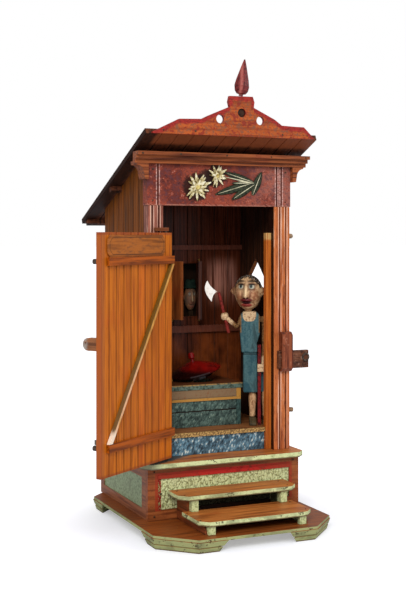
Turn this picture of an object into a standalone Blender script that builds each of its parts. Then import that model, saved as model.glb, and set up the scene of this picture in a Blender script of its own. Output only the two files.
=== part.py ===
"""Wooden privy automaton: a little board house on a stepped base, with an open door.

The house frame has X to the right, Y to the back and Z up, with the middle of the house
at x = 0, the front of the door posts at y = 0 and the floor it stands on at z = 0.
The last function moves the whole sideways onto the middle of its own footprint.
Opening the door turns a cranked rod that slides a board in the base. The board rocks the
red lever that works the figure's arms, and lifts the seat lid and the head at the window.
"""

import math

import bmesh
import bpy
from mathutils import Matrix, Vector

# Clearances
GAP = 0.0003                  # between pieces glued or resting on each other
RUN = 0.0005                  # round anything that slides or turns

# Feet and ground plate
FOOT_HEIGHT = 0.0122
FOOT_RETURN = 0.033           # length of a foot along each side past the cut corner
FOOT_BATTER = 0.003           # how far the foot draws in towards the floor
FOOT_GROOVE = 0.0011
FOOT_PROUD = 0.0010           # of the foot's top outside the plate's edge
FOOT_PROFILE = (              # shares of the batter, of the foot's height, of the groove
    (1.0, 0.0, 0.0), (0.45, 0.42, 0.0), (0.45, 0.48, 1.0), (0.30, 0.55, 0.0),
)
PLATE_THICKNESS = 0.0035
PLATE_FRONT = 0.112           # reach in front of the posts
PLATE_MARGIN = 0.017          # reach past the base box at its left side and its back
PLATE_RIGHT_MARGIN = 0.009    # reach past the base box at its right side
PLATE_CORNER = 0.039

# Base box
BOX_HALF_WIDTH = 0.100
BOX_FRONT = 0.013             # reach in front of the posts
BOX_HEIGHT = 0.0614
BOX_WALL = 0.0065
STILE = 0.013
BOTTOM_RAIL = 0.0115
TOP_RAIL = 0.0135
PANEL_THICKNESS = 0.004
PANEL_SINK = 0.0012           # how far a green panel lies behind its frame
BEAD_HEIGHT = 0.0045
BEAD_PROUD = 0.0009

# Deck between base and house
DECK_THICKNESS = 0.006
DECK_FRONT = 0.025
DECK_LEFT = 0.109
DECK_RIGHT = 0.104
DECK_CORNER = 0.009

# Steps
STEP_THICKNESS = 0.005
UPPER_STEP_HEIGHT = 0.050
UPPER_STEP_DEPTH = 0.041
UPPER_STEP_HALF_WIDTH = 0.0765
LOWER_STEP_HEIGHT = 0.031
LOWER_STEP_FRONT = 0.101
LOWER_STEP_BACK = 0.0445
LOWER_STEP_HALF_WIDTH = 0.0715
STEP_MIDDLE = 0.0015          # right of the middle of the house
STEP_CORNER = 0.010
CHEEK_THICKNESS = 0.006
CHEEK_INSET = 0.0065
STEP_POST = 0.0055
STEP_POST_BACK = 0.003

# House
HOUSE_HALF_WIDTH = 0.0945
HOUSE_DEPTH = 0.155
WALL = 0.006
POST_DEPTH = 0.014
LEFT_POST_WIDTH = 0.019
RIGHT_POST_WIDTH = 0.022
POST_HEIGHT = 0.301
POST_GROOVE = 0.0011
POST_GROOVE_PLACES = (0.005, 0.0135)
LINTEL_HALF_WIDTH = 0.0957
LINTEL_HEIGHT = 0.058
LINTEL_SHOWN = 0.0492         # height of the lintel below the cornice
LINTEL_BEADS = (-0.082, 0.0765, 0.083)
CORNICE_HALF_WIDTH = 0.1138
CORNICE_STEPS = ((0.007, 0.0045), (0.012, 0.0045), (0.018, 0.0042))
CORBEL_WIDTH = 0.0155
CORBEL_HEIGHT = 0.0185
CORBEL_FRONT = 0.006
CORBEL_SCROLL = 0.62          # share of its height and of its width where the scroll starts
CORBEL_TOE = 0.30             # width of its foot, as a share
WALL_BOARDS = 8
BACK_BOARDS = 9
BOARD_GROOVE = 0.0009
DIAMOND = 0.030               # half of the diamond's diagonal
DIAMOND_Y = 0.0815
DIAMOND_Z = 0.290

# Roof
ROOF_FRONT = 0.037            # reach in front of the posts
ROOF_RISE = 0.0187            # from the cornice's top to the roof's front edge
ROOF_BACK = 0.197
ROOF_HALF_WIDTH = 0.112
ROOF_THICKNESS = 0.0062
ROOF_ANGLE = math.radians(23.3)
ROOF_BOARDS = 11
PURLIN_WIDTH = 0.007
PURLIN_HEIGHT = 0.006
PURLIN_PLACES = (0.091, 0.184)
PURLIN_END = 0.109
CREST_THICKNESS = 0.005
CREST_HALF_WIDTH = 0.105
CREST_OUTLINE = (
    (-0.105, 0.0016), (-0.072, 0.0176), (-0.044, 0.0186), (-0.036, 0.0225), (-0.008, 0.0343),
    (-0.0095, 0.0405), (-0.008, 0.0472), (0.0223, 0.0476), (0.0245, 0.0410), (0.0236, 0.0346),
    (0.052, 0.0215), (0.0613, 0.0150), (0.080, 0.0143), (0.0915, 0.0142), (0.105, 0.0016),
)
CREST_HOLES = ((0.0077, 0.0279), (-0.0203, 0.0196), (0.0323, 0.0195))
CREST_HOLE_RADIUS = 0.0052
FINIAL_X = 0.0075
FINIAL_HEIGHT = 0.044
FINIAL_RADIUS = 0.0098
FINIAL_FLATNESS = 0.8
FINIAL_SHARES = (             # of its radius, of its height
    (0.30, 0.0), (0.30, 0.04), (0.62, 0.06), (0.90, 0.14), (1.0, 0.26), (0.86, 0.42),
    (0.60, 0.62), (0.34, 0.82), (0.12, 0.97), (0.04, 1.0),
)
FINIAL_LEAN = math.radians(7.0)

# Edelweiss sprig on the lintel; heights are above the lintel's foot
SPRIG_THICKNESS = 0.0012
FLOWERS = ((-0.0310, 0.0222, 0.0175, 13), (-0.0051, 0.0362, 0.0125, 11))
FLOWER_THICKNESS = 0.0026
LEAVES = (
    (0.0430, 0.0277, 0.0020, 0.0412, 0.0072), (0.0430, 0.0267, -0.0060, 0.0142, 0.0080),
    (0.0440, 0.0247, 0.0140, 0.0082, 0.0072), (0.0445, 0.0200, 0.0535, 0.0422, 0.0095),
    (0.0430, 0.0267, 0.0200, 0.0237, 0.0036),
)
LEAF_SHARES = ((0.0, 0.35), (0.3, 0.75), (0.6, 1.0), (0.85, 0.6), (0.97, 0.12))
PETAL_SHARES = ((0.42, -0.5), (0.92, -0.16), (1.0, 0.0), (0.92, 0.16))
PETAL_TURN = 0.2
SPRIG_KNOT = (0.0440, 0.0262)
SPRIG_KNOT_RADIUS = 0.0022
SPRIG_STEM = 0.0013
SPRIG_STEP = 0.0001           # each leaf lies a little further out than the last

# Door
DOOR_WIDTH = 0.1415
DOOR_HEIGHT = 0.265
DOOR_THICKNESS = 0.006
DOOR_SILL_GAP = 0.004
DOOR_BOARDS = 10
DOOR_OPEN = math.radians(145.0)
DOOR_SET_BACK = 0.0008        # outer face behind the posts' front, door closed
DOOR_EDGE = 0.002             # from the pin to the hinge edge of the leaf
SHAFT_RADIUS = 0.0015
SHAFT_X = -0.0730
SHAFT_Y = -0.0028
STRAP_RADIUS = 0.0027
STRAP_THICKNESS = 0.0012
STRAP_HEIGHT = 0.009
STRAP_LENGTH = 0.139
STRAP_BOSS = 0.0060
STRAP_BOSS_REACH = 0.0072
BATTEN_HEIGHT = 0.009
BATTEN_THICKNESS = 0.0038
BATTEN_INSET = 0.0105         # from the leaf's free edge, room for the door stop
LOWER_BATTEN_Z = 0.1145
UPPER_BATTEN_Z = 0.3165
BRACE_WIDTH = 0.0060
DOOR_PLATE_HEIGHT = 0.0240
DOOR_PLATE_INSET = 0.017
DOOR_PLATE_THICKNESS = 0.0012
DOOR_PLATE_CORNER = 0.005
HANDLE_REACH = 0.023
HANDLE_HEIGHT = 0.014
HANDLE_THICKNESS = 0.007
HANDLE_Z = 0.2310
HANDLE_INSET = 0.007
STOP_WIDTH = 0.0070
COLLAR_RADIUS = 0.0028
COLLAR_HEIGHT = 0.0014
BRACKET_LENGTH = 0.017        # across the left post's face
BRACKET_HEIGHT = 0.004
BRACKET_RISE = 0.002          # above the door

# Bolt on the right post
BOLT_LENGTH = 0.042
BOLT_HEIGHT = 0.022
BOLT_THICKNESS = 0.005
BOLT_Z = 0.1955
BOLT_REACH = 0.024            # past the side of the house, drawn back
BOLT_STAND = 0.0006           # from the post's face to the bolt
KEEPER_WIDTH = 0.0145
KEEPER_WALL = 0.003
KEEPER_TOP = 0.230
KEEPER_CORNER = 0.004
RING_RADIUS = 0.0042
RING_WIRE = 0.0011
RING_EYE = 0.0014
RING_STEM = 0.0022

# Inside of the house
FLOOR_RISE = 0.0220           # riser between deck and raised floor
FLOOR_THICKNESS = 0.005
FLOOR_FRONT = 0.009
RISER_THICKNESS = 0.004
RISER_SET_BACK = 0.003
PEEP_SPACE = 0.030            # from the inner back wall's front to the back of the house
BACK_WALL_THICKNESS = 0.005
RAIL_THICKNESS = 0.004
UPPER_RAIL_HEIGHT = 0.006
UPPER_RAIL_RISE = 0.018       # above the window
LOWER_RAIL_HEIGHT = 0.009
LOWER_RAIL_DROP = 0.021       # its foot, below the window
BENCH_FRONT = 0.042
BENCH_HEIGHT = 0.053
BENCH_RIGHT = 0.0500
BENCH_TOP_THICKNESS = 0.0065
BENCH_NOSING = 0.002
BENCH_PANEL = 0.004
FRIEZE_HEIGHT = 0.0098
BEAD_STRIP_HEIGHT = 0.004
BEAD_STRIP_PROUD = 0.0023
TRIM_THICKNESS = 0.0010
END_POST_WIDTH = 0.006

# Seat lid
LID_X = 0.0038
LID_SET_BACK = 0.0015         # behind the middle of the bench
LID_MARGIN = 0.0075           # from the rim to the bench's edges
LID_EDGE = 0.003
LID_RISE = 0.0125             # height of the cone above the rim
LID_KNOB_RADIUS = 0.0042
LID_KNOB_HEIGHT = 0.0115
LID_CHAMFER = 0.0012          # on the rim's lower edge
LID_CHAMFER_SHARE = 0.4       # of the rim's height
LID_CONE_SHARES = ((0.80, 0.30), (0.50, 0.62), (0.22, 0.90))       # of the radius, of the rise
LID_KNOB_SHARES = ((0.55, 0.0), (0.55, 0.25), (1.0, 0.45), (1.0, 0.75), (0.6, 1.0))
LID_SIDES = 32
LID_TONGUE_SHARE = 0.9        # thickness of the tongue, as a share of the rim's
LID_LAP = 0.012               # rim outside the plug
LID_PLUG_DEPTH = 0.005
LID_HOLE_CLEARANCE = 0.0015
LID_TILT = math.radians(14.0)
LID_PIN_OFFSET = 0.0036       # pin outside the rim
LID_PIN_RISE = 0.0028         # pin above the bench top
LID_PIN_RADIUS = 0.0009
LID_EYE_RADIUS = 0.0022
LID_TONGUE_WIDTH = 0.008
LUG_WIDTH = 0.004
LUG_BACK = 0.0015

# Window, shutters and the head behind them
WINDOW_LEFT = -0.013
WINDOW_RIGHT = 0.025
WINDOW_FOOT = 0.243
WINDOW_TOP = 0.313
SHUTTER_LAP = 0.003
SHUTTER_THICKNESS = 0.0044
SHUTTER_OPEN = math.radians(71.0)
SHUTTER_PIN = 0.0008
PEEPER_X = 0.0200
PEEPER_HEAD_RISE = 0.007      # above the window's foot, door open
PEEPER_HEAD_HEIGHT = 0.034
PEEPER_HEAD_WIDTH = 0.017
PEEPER_HEAD_DEPTH = 0.0135
PEEPER_HAT_HEIGHT = 0.0140
PEEPER_HAT_SEAT = 0.88        # share of the head's height
PEEPER_BRIDGE = 0.62
PEEPER_NOSE_TIP = 0.42
PEEPER_SHARES = ((0.0, 0.42), (0.10, 0.62), (0.30, 0.90), (0.55, 1.0), (0.80, 0.94), (1.0, 0.80))
PEEPER_HAT_SHARES = ((0.0, 1.12), (0.18, 1.16), (0.24, 0.92), (0.80, 0.78), (1.0, 0.55))
PEEPER_NOSE_SHARES = ((0.30, 0.0, 0.10), (-0.12, 0.0, 0.20), (0.40, -0.12, 0.16))
PEEPER_STICK_WIDTH = 0.006
PEEPER_STICK_THICKNESS = 0.004

# Figure, in its own frame: X to its left, Y to its back, Z from the raised floor
FIGURE_X = 0.0595
FIGURE_Y = 0.0350
FIGURE_TURN = math.radians(-24.0)
SHOE_HEIGHT = 0.009
SHOE_LENGTH = 0.021
SHOE_WIDTH = 0.0085
SHOE_SHARES = ((0.0, 1.0), (0.45, 1.0), (0.85, 0.62), (1.0, 0.35))     # of length, of height
SHOE_HEEL = 0.005             # behind the middle of the leg
RIGHT_LEG = (0.0010, 0.0030)
LEFT_LEG = (0.0178, 0.0052)
LEG_RADIUS = 0.0036
ANKLE = 0.85                  # share of the leg's radius
TROUSER_FOOT = 0.041
TROUSER_TOP = 0.091
TROUSER_SIDE = 0.0066
TROUSER_LEFT = -0.011
TROUSER_RIGHT = 0.020
TROUSER_LEFT_FRONT = 0.0018
TROUSER_LEFT_BACK = 0.009
LEFT_TROUSER_TOP = 0.071
TROUSER_DEPTH = 0.0075
TORSO_TOP = 0.143
TORSO_BACK = 0.007
TORSO_LEFT = -0.015
TORSO_RIGHT = 0.010
WAIST_INSET = 0.002
WAIST_RISE = 0.014            # from the lever's top to the widest part of the chest
SHOULDER_DROP = 0.005
CARVED_EDGE = 0.0016
HEAD_X = -0.0050
HEAD_FOOT = 0.1448
HEAD_HEIGHT = 0.043
HEAD_WIDTH = 0.034
HEAD_DEPTH = 0.027
EAR_SIZE = 0.0052
NOSE_REACH = 0.0085
HEAD_SHARES = (               # of its height, of half its width, of half its depth
    (0.0, 0.45, 0.40), (0.06, 0.68, 0.62), (0.20, 0.88, 0.84), (0.42, 0.98, 0.97),
    (0.62, 1.0, 1.0), (0.80, 0.92, 0.93), (0.92, 0.70, 0.72), (1.0, 0.32, 0.34),
)
NOSE_SHARES = (               # of half the depth, of its reach, of the head's height, its radius
    (0.80, 0.0, 0.60, 0.22), (1.0, 0.35, 0.50, 0.30), (1.0, 0.62, 0.40, 0.38), (0.80, 0.0, 0.37, 0.30),
)
EAR_RISE = 0.48               # share of the head's height
EAR_SINK = 0.25               # share of its own size
EAR_FLATNESS = 0.6
EAR_SHARES = ((-1.0, 0.30), (-0.5, 0.62), (0.2, 0.85), (0.8, 0.70), (1.1, 0.35))
NECK_RADIUS = 0.0045
RIGHT_SHOULDER = (-0.012, 0.132)
LEFT_SHOULDER = (0.009, 0.132)
SHOULDER_DISC = 0.0042
TAIL_HALF_HEIGHT = 0.0030
TAIL_PIN = 0.0010
FORK_REACH = 0.0026           # past the pin of the other arm's tail
FORK_DEPTH = 0.0018
YOKE_TOP = 0.8                # shares of the shoulder's disc
YOKE_SLOPE = 0.6
LEFT_ARM_X = 0.0164
RIGHT_ELBOW = (-0.0185, 0.1225)
TAIL_JOINT_X = -0.004
ARM_BACK = 0.0079             # front of the arms' plates behind the torso's middle
ARM_PLATE = 0.0022
SHOULDER_PEG = 0.0011
PEG_SINK = 0.004
ARM_RADIUS = 0.0036
HAND_SIZE = 0.0048
AXE_FOOT = (-0.0289, 0.1147)
AXE_TOP = (-0.0415, 0.1663)
AXE_RADIUS = 0.0021
AXE_Y = 0.0100
WRIST_SHARE = 0.55            # of the way from the elbow to the grip
RIGHT_ARM_SHARES = (0.75, 0.85, 0.88, 0.82, 0.75)
HAND_SHARES = ((-0.95, 0.62), (-0.5, 0.93), (0.2, 1.0), (0.75, 0.84), (1.0, 0.55))
HAND_FLATNESS = 0.95
GRIP_SHARE = 0.41             # where the right hand holds the axe, from the foot of its handle
GRIP_HOLE_SHARE = 0.25        # half of the hole's length, as a share of the handle
BLADE_THICKNESS = 0.0020
BLADE_OUTLINE = (
    (-0.0559, 0.1813), (-0.0580, 0.1755), (-0.0588, 0.1690), (-0.0568, 0.1620), (-0.0503, 0.1543),
    (-0.0484, 0.1600), (-0.0445, 0.1645), (-0.0440, 0.1670), (-0.0478, 0.1726),
)

# Red lever in the figure's left hand
LEVER_X = 0.0094
LEVER_Y = -0.0030
LEVER_WIDTH = 0.0040
LEVER_THICKNESS = 0.0035
LEVER_TOP = 0.101             # above the raised floor
LEVER_PIN = 0.0009
LEVER_PIN_REACH = 0.0056      # half of the pin's length
HAND_HEIGHT = 0.072
HAND_WALL = 0.002
PALM_LEFT = 0.0024            # of the lever's middle
PALM_RIGHT = 0.00096          # of the arm's middle
HAND_TWIST = 2.3              # turn between the hand and the lever, in swings of the lever
SHOULDER_SHARE = 0.70
FOREARM_SHARES = (            # share of the way down, of the way back, of the arm's radius
    (0.0, 1.0, 0.92), (0.30, 0.72, 0.92), (0.62, 0.20, 0.90),
)

# Works in the base
CRANK_RADIUS = 0.0043
CRANK_MIDDLE = math.radians(90.0)
CRANK_RISE = 0.004            # crank arm above the slide board
SLIDE_Z = 0.044
SLIDE_THICKNESS = 0.005
SLIDE_LEFT = -0.0755
SLIDE_RIGHT = 0.077
SLIDE_BAR_BACK = 0.022
SLIDE_TAB_LEFT = 0.056
SLIDE_TAB_BACK = 0.041
SLIDE_ARM_LEFT = -0.012
SLIDE_ARM_RIGHT = 0.034
SLIDE_ARM_MARGIN = 0.0025     # behind the ramp of the head's stick
LID_RAMP = math.radians(45.0)
PEEPER_RAMP = math.radians(60.0)
RAMP_WIDTH = 0.010
RAMP_RUN_OUT = 0.0035
RAMP_FOOT = 0.0007
LIFTER_RADIUS = 0.0025
LIFTER_SHARES = (0.92, 0.66, 0.33)         # of a quarter turn, round its tip
GUIDE_WIDTH = 0.010
GUIDE_PLACES = (-0.050, 0.0355)
GUIDE_LIP = 0.004
CRADLE_THICKNESS = 0.003
REST_INSET = 0.029            # from the back end of the board's long arm
REST_DEPTH = 0.010
REST_HALF_WIDTH = 0.010

# Facets on round pieces
ROUND_SIDES = 24
PEG_SIDES = 10

# Levels, from the floor up
PLATE_FOOT = FOOT_HEIGHT
PLATE_TOP = PLATE_FOOT + PLATE_THICKNESS
BOX_FOOT = PLATE_TOP + GAP
BOX_TOP = BOX_FOOT + BOX_HEIGHT
DECK_FOOT = BOX_TOP + GAP
DECK_TOP = DECK_FOOT + DECK_THICKNESS
WALL_FOOT = DECK_TOP + GAP
POST_TOP = WALL_FOOT + POST_HEIGHT
LINTEL_FOOT = POST_TOP + GAP
CORNICE_FOOT = LINTEL_FOOT + LINTEL_SHOWN
CORNICE_TOP = CORNICE_FOOT + sum(height for reach, height in CORNICE_STEPS)
ROOF_FRONT_Z = CORNICE_TOP + ROOF_RISE
FLOOR_FOOT = WALL_FOOT + FLOOR_RISE
FLOOR_TOP = FLOOR_FOOT + FLOOR_THICKNESS
BENCH_TOP = FLOOR_TOP + BENCH_HEIGHT
BENCH_TOP_FOOT = BENCH_TOP - BENCH_TOP_THICKNESS
DOOR_FOOT = DECK_TOP + DOOR_SILL_GAP
DOOR_TOP = DOOR_FOOT + DOOR_HEIGHT
SLIDE_TOP = SLIDE_Z + SLIDE_THICKNESS
RAILS = ((WINDOW_TOP + UPPER_RAIL_RISE, UPPER_RAIL_HEIGHT),
         (WINDOW_FOOT - LOWER_RAIL_DROP, LOWER_RAIL_HEIGHT))
PEEPER_HEAD_FOOT = WINDOW_FOOT + PEEPER_HEAD_RISE

# Planes, from the front to the back
PLATE_BACK = HOUSE_DEPTH + PLATE_MARGIN
PLATE_HALF_WIDTH = BOX_HALF_WIDTH + (PLATE_MARGIN + PLATE_RIGHT_MARGIN) / 2
PLATE_MIDDLE = (PLATE_RIGHT_MARGIN - PLATE_MARGIN) / 2
INNER_HALF_WIDTH = HOUSE_HALF_WIDTH - WALL
WALL_FRONT = POST_DEPTH + GAP
LEFT_JAMB = LEFT_POST_WIDTH - HOUSE_HALF_WIDTH
RIGHT_JAMB = HOUSE_HALF_WIDTH - RIGHT_POST_WIDTH
DOOR_LEFT = SHAFT_X + DOOR_EDGE
DOOR_RIGHT = DOOR_LEFT + DOOR_WIDTH
DOOR_INNER = DOOR_SET_BACK + DOOR_THICKNESS
STOP_FRONT = DOOR_INNER + RUN
SLIDE_FRONT = -BOX_FRONT + PANEL_SINK + PANEL_THICKNESS + RUN
BACK_WALL_Y = HOUSE_DEPTH - PEEP_SPACE
SHUTTER_Y = BACK_WALL_Y - SHUTTER_THICKNESS / 2 - 2 * RUN - GAP
BACK_COVER_Y = HOUSE_DEPTH - WALL
PEEPER_Y = (BACK_WALL_Y + BACK_WALL_THICKNESS + BACK_COVER_Y) / 2
SLIDE_ARM_BACK = PEEPER_Y + RAMP_WIDTH / 2 + SLIDE_ARM_MARGIN
REST_PLACE = SLIDE_ARM_BACK - REST_INSET
LID_Y = (BENCH_FRONT + BACK_WALL_Y) / 2 + LID_SET_BACK
LID_RADIUS = (BACK_WALL_Y - BENCH_FRONT) / 2 - LID_MARGIN
LID_PLUG_RADIUS = LID_RADIUS - LID_LAP

# Motions that follow the door
SLIDE_TRAVEL = 2 * CRANK_RADIUS * math.sin(DOOR_OPEN / 2)
LID_PIN_X = LID_X - LID_RADIUS - LID_PIN_OFFSET
LID_PIN_Z = BENCH_TOP + LID_PIN_RISE
LIFT = SLIDE_TRAVEL * math.tan(LID_RAMP)
LIFTER_X = LID_PIN_X + LIFT / math.tan(LID_TILT)
PEEPER_TRAVEL = SLIDE_TRAVEL * math.tan(PEEPER_RAMP)
LEVER_PIVOT_Z = (FLOOR_FOOT + FLOOR_TOP) / 2
LEVER_TAIL = LEVER_PIVOT_Z - (SLIDE_Z + SLIDE_TOP) / 2
LEVER_SWING = math.atan(SLIDE_TRAVEL / math.cos(FIGURE_TURN) / LEVER_TAIL)

# Motion of the bolt, until its ring meets the keeper
BOLT_TRAVEL = BOLT_REACH - 2 * (RING_RADIUS + RING_WIRE) - GAP


def roof_under(y):
    """Height of the roof's underside at a distance behind the posts' front."""
    return ROOF_FRONT_Z - (y + ROOF_FRONT) * math.tan(ROOF_ANGLE)


# Making and joining solids

def clear_scene():
    for old in list(bpy.data.objects):
        bpy.data.objects.remove(old, do_unlink=True)


def coat(name, colour, roughness=0.5, metallic=0.0):
    """A plain material for one piece."""
    material = bpy.data.materials.new(name)
    material.use_nodes = True
    shader = material.node_tree.nodes["Principled BSDF"]
    shader.inputs["Base Color"].default_value = (*colour, 1.0)
    shader.inputs["Roughness"].default_value = roughness
    shader.inputs["Metallic"].default_value = metallic
    material.diffuse_color = (*colour, 1.0)
    return material


def pivot(name, location, turn=0.0, axis="Z", parent=None):
    """An empty on a joint's axis, turned from the modelled pose to the rest pose."""
    empty = bpy.data.objects.new(name, None)
    empty.empty_display_size = 0.01
    empty.matrix_basis = Matrix.Translation(location) @ Matrix.Rotation(turn, 4, axis)
    empty.parent = parent
    bpy.context.collection.objects.link(empty)
    return empty


def finish(name, solid, paint=None, on=None, smooth=False, start=None):
    """Turn a bmesh into a named object on its pivot, in a paint or metal of its own.

    start is where the pivot stands in the frame that the mesh was drawn in.
    """
    if start is not None:
        bmesh.ops.translate(solid, verts=solid.verts, vec=-Vector(start))
    mesh = bpy.data.meshes.new(name)
    solid.to_mesh(mesh)
    solid.free()
    if paint:
        mesh.materials.append(coat(name, *paint))
    if smooth:
        mesh.shade_smooth()
        mesh.set_sharp_from_angle(angle=math.radians(38.0))
    made = bpy.data.objects.new(name, mesh)
    made.parent = on
    bpy.context.collection.objects.link(made)
    return made


def combine(made, solid, operation, start=None):
    """Cut a solid out of a finished object, or fuse one to it."""
    label = made.name + "_" + operation.lower()
    tool = finish(label, solid, on=made.parent, start=start)
    tool.matrix_basis = made.matrix_basis
    tool.hide_render = True
    tool.display_type = "WIRE"
    change = made.modifiers.new(label, "BOOLEAN")
    change.operation = operation
    change.solver = "EXACT"
    change.object = tool
    return tool


def cut(made, solid, start=None):
    return combine(made, solid, "DIFFERENCE", start)


def fuse(made, solid, start=None):
    return combine(made, solid, "UNION", start)


def add_rings(solid, rings):
    """Skin a row of rings that have as many points each, and close both ends."""
    rows = [[solid.verts.new(point) for point in ring] for ring in rings]
    faces = [solid.faces.new(rows[0]), solid.faces.new(rows[-1])]
    for row, following in zip(rows, rows[1:]):
        for i in range(len(row)):
            j = (i + 1) % len(row)
            faces.append(solid.faces.new((row[i], row[j], following[j], following[i])))
    bmesh.ops.recalc_face_normals(solid, faces=faces)


def add_prism(solid, outline, axis, low, high):
    """Extrude a flat outline along an axis; the outline keeps the order of the other two."""
    def place(a, b, level):
        return {"x": (level, a, b), "y": (a, level, b), "z": (a, b, level)}[axis]
    add_rings(solid, [[place(a, b, level) for a, b in outline] for level in (low, high)])


def add_box(solid, x, y, z):
    add_prism(solid, [(x[0], y[0]), (x[1], y[0]), (x[1], y[1]), (x[0], y[1])], "z", z[0], z[1])


def circle(radius, sides, centre=(0.0, 0.0), first=0.0):
    return [(centre[0] + radius * math.cos(first + math.tau * i / sides),
             centre[1] + radius * math.sin(first + math.tau * i / sides)) for i in range(sides)]


def arc(centre, radius, start, end, steps):
    turn = (end - start) / steps
    return [(centre[0] + radius * math.cos(start + turn * i),
             centre[1] + radius * math.sin(start + turn * i)) for i in range(steps + 1)]


def add_tube(solid, points, radius, sides=PEG_SIDES, end_radius=None):
    """A round rod along a path, mitred where the path bends."""
    points = [Vector(p) for p in points]
    ways = [(b - a).normalized() for a, b in zip(points, points[1:])]
    side = ways[0].orthogonal().normalized()
    other = ways[0].cross(side)
    offsets = [side * a + other * b for a, b in circle(radius, sides)]
    rings = [[points[0] + offset for offset in offsets]]
    for centre, way, onward in zip(points[1:-1], ways, ways[1:]):
        normal = (way + onward).normalized()
        mitred = [o - way * (o.dot(normal) / way.dot(normal)) for o in offsets]
        rings.append([centre + m for m in mitred])
        offsets = [m - onward * m.dot(onward) for m in mitred]
    scale = 1.0 if end_radius is None else end_radius / radius
    rings.append([points[-1] + offset * scale for offset in offsets])
    add_rings(solid, rings)


def add_turned(solid, profile, centre=(0.0, 0.0, 0.0), sides=ROUND_SIDES):
    """A turned piece: profile is (radius, height) from the bottom to the top."""
    rings = []
    for radius, height in profile:
        rings.append([(centre[0] + a, centre[1] + b, centre[2] + height)
                      for a, b in circle(radius, sides)])
    add_rings(solid, rings)


def add_swell(solid, stations, sides=12):
    """A carved limb or head: each station is a centre, a half width and a half depth."""
    add_rings(solid, [[(centre[0] + half * math.cos(math.tau * i / sides),
                        centre[1] + deep * math.sin(math.tau * i / sides), centre[2])
                       for i in range(sides)] for centre, half, deep in stations])


def add_limb(solid, stations, sides=8):
    """A limb along a bent path: each station is a point and a radius."""
    points = [Vector(point) for point, radius in stations]
    rings = []
    for i, (point, radius) in enumerate(stations):
        before = points[max(i - 1, 0)]
        after = points[min(i + 1, len(points) - 1)]
        way = (after - before).normalized()
        side = way.cross(Vector((0.0, 1.0, 0.0))).normalized()
        other = way.cross(side)
        rings.append([points[i] + side * a + other * b for a, b in circle(radius, sides)])
    add_rings(solid, rings)


def board_row(start, stop, count, face, back, notch, both=True):
    """Outline across a row of boards, with a V groove at each joint."""
    step = (stop - start) / count
    inward = math.copysign(notch, back - face)
    near = [(start, face)]
    far = [(start, back)]
    for i in range(1, count):
        middle = start + i * step
        near += [(middle - notch, face), (middle, face + inward), (middle + notch, face)]
        if both:
            far += [(middle - notch, back), (middle, back - inward), (middle + notch, back)]
    near.append((stop, face))
    far.append((stop, back))
    return near + far[::-1]


def grooved(start, stop, face, back, places, notch):
    """Outline of a board with V grooves in its face at the given places."""
    outline = [(start, face)]
    inward = math.copysign(notch, back - face)
    for place in sorted(places):
        outline += [(place - notch, face), (place, face + inward), (place + notch, face)]
    return outline + [(stop, face), (stop, back), (start, back)]


def cut_corners(left, right, front, back, corner, back_corner=None):
    """A rectangle in plan whose corners are cut off at 45 degrees."""
    rear = corner if back_corner is None else back_corner
    outline = [(left, front + corner), (left + corner, front), (right - corner, front),
               (right, front + corner)]
    if rear:
        return outline + [(right, back - rear), (right - rear, back), (left + rear, back),
                          (left, back - rear)]
    return outline + [(right, back), (left, back)]


clear_scene()

# Paints and metals: colour, roughness, metallic

WOOD = ((0.52, 0.17, 0.035), 0.38)
DARK_WOOD = ((0.16, 0.05, 0.018), 0.45)
MAROON = ((0.20, 0.045, 0.030), 0.42)
RED = ((0.42, 0.025, 0.012), 0.35)
PALE_GREEN = ((0.42, 0.50, 0.25), 0.6)
STONE = ((0.13, 0.24, 0.27), 0.7)
CREAM = ((0.55, 0.42, 0.24), 0.55)
BLUE_CLOTH = ((0.07, 0.15, 0.18), 0.6)
SKIN = ((0.50, 0.34, 0.20), 0.5)
SHOE_PAINT = ((0.06, 0.07, 0.05), 0.5)
PALE_WOOD = ((0.50, 0.30, 0.14), 0.5)
BRASS = ((0.55, 0.40, 0.16), 0.35, 1.0)
STEEL = ((0.35, 0.34, 0.32), 0.4, 1.0)


# Base

def base_plate():
    """Ground plate on four corner feet, each in two layers along one cut corner."""
    solid = bmesh.new()
    outline = cut_corners(PLATE_MIDDLE - PLATE_HALF_WIDTH, PLATE_MIDDLE + PLATE_HALF_WIDTH,
                          -PLATE_FRONT, PLATE_BACK, PLATE_CORNER)
    add_prism(solid, outline, "z", PLATE_FOOT, PLATE_TOP)
    plate = finish("base_plate", solid, WOOD)

    feet = bmesh.new()
    middle_y = (PLATE_BACK - PLATE_FRONT) / 2
    half_depth = (PLATE_BACK + PLATE_FRONT) / 2
    corner_sum = PLATE_HALF_WIDTH + half_depth - PLATE_CORNER

    def foot_plan(inset):
        """Plan of one foot, seen from the middle of the plate and drawn in by an inset."""
        x = PLATE_HALF_WIDTH - inset
        y = half_depth - inset
        outer = corner_sum - inset * math.sqrt(2)
        inner = corner_sum - FOOT_RETURN + inset * math.sqrt(2)
        return [(x, inner - x), (x, outer - x), (outer - y, y), (inner - y, y)]

    levels = [(FOOT_BATTER * draw + FOOT_GROOVE * groove, FOOT_HEIGHT * up)
              for draw, up, groove in FOOT_PROFILE]
    levels += [(-FOOT_PROUD, FOOT_HEIGHT + GAP), (FOOT_BATTER, FOOT_HEIGHT + PLATE_THICKNESS / 2)]
    for side in (-1, 1):
        for end in (-1, 1):
            add_rings(feet, [[(PLATE_MIDDLE + side * x, middle_y + end * y, z)
                              for x, y in foot_plan(inset)]
                             for inset, z in levels])
    fuse(plate, feet)


def frame_outline(low, high):
    """Outer and inner corners of a wall's frame, from its foot and its ends."""
    inner_low = (low + STILE, BOX_FOOT + BOTTOM_RAIL)
    inner_high = (high - STILE, BOX_TOP - TOP_RAIL)
    return inner_low, inner_high


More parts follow.
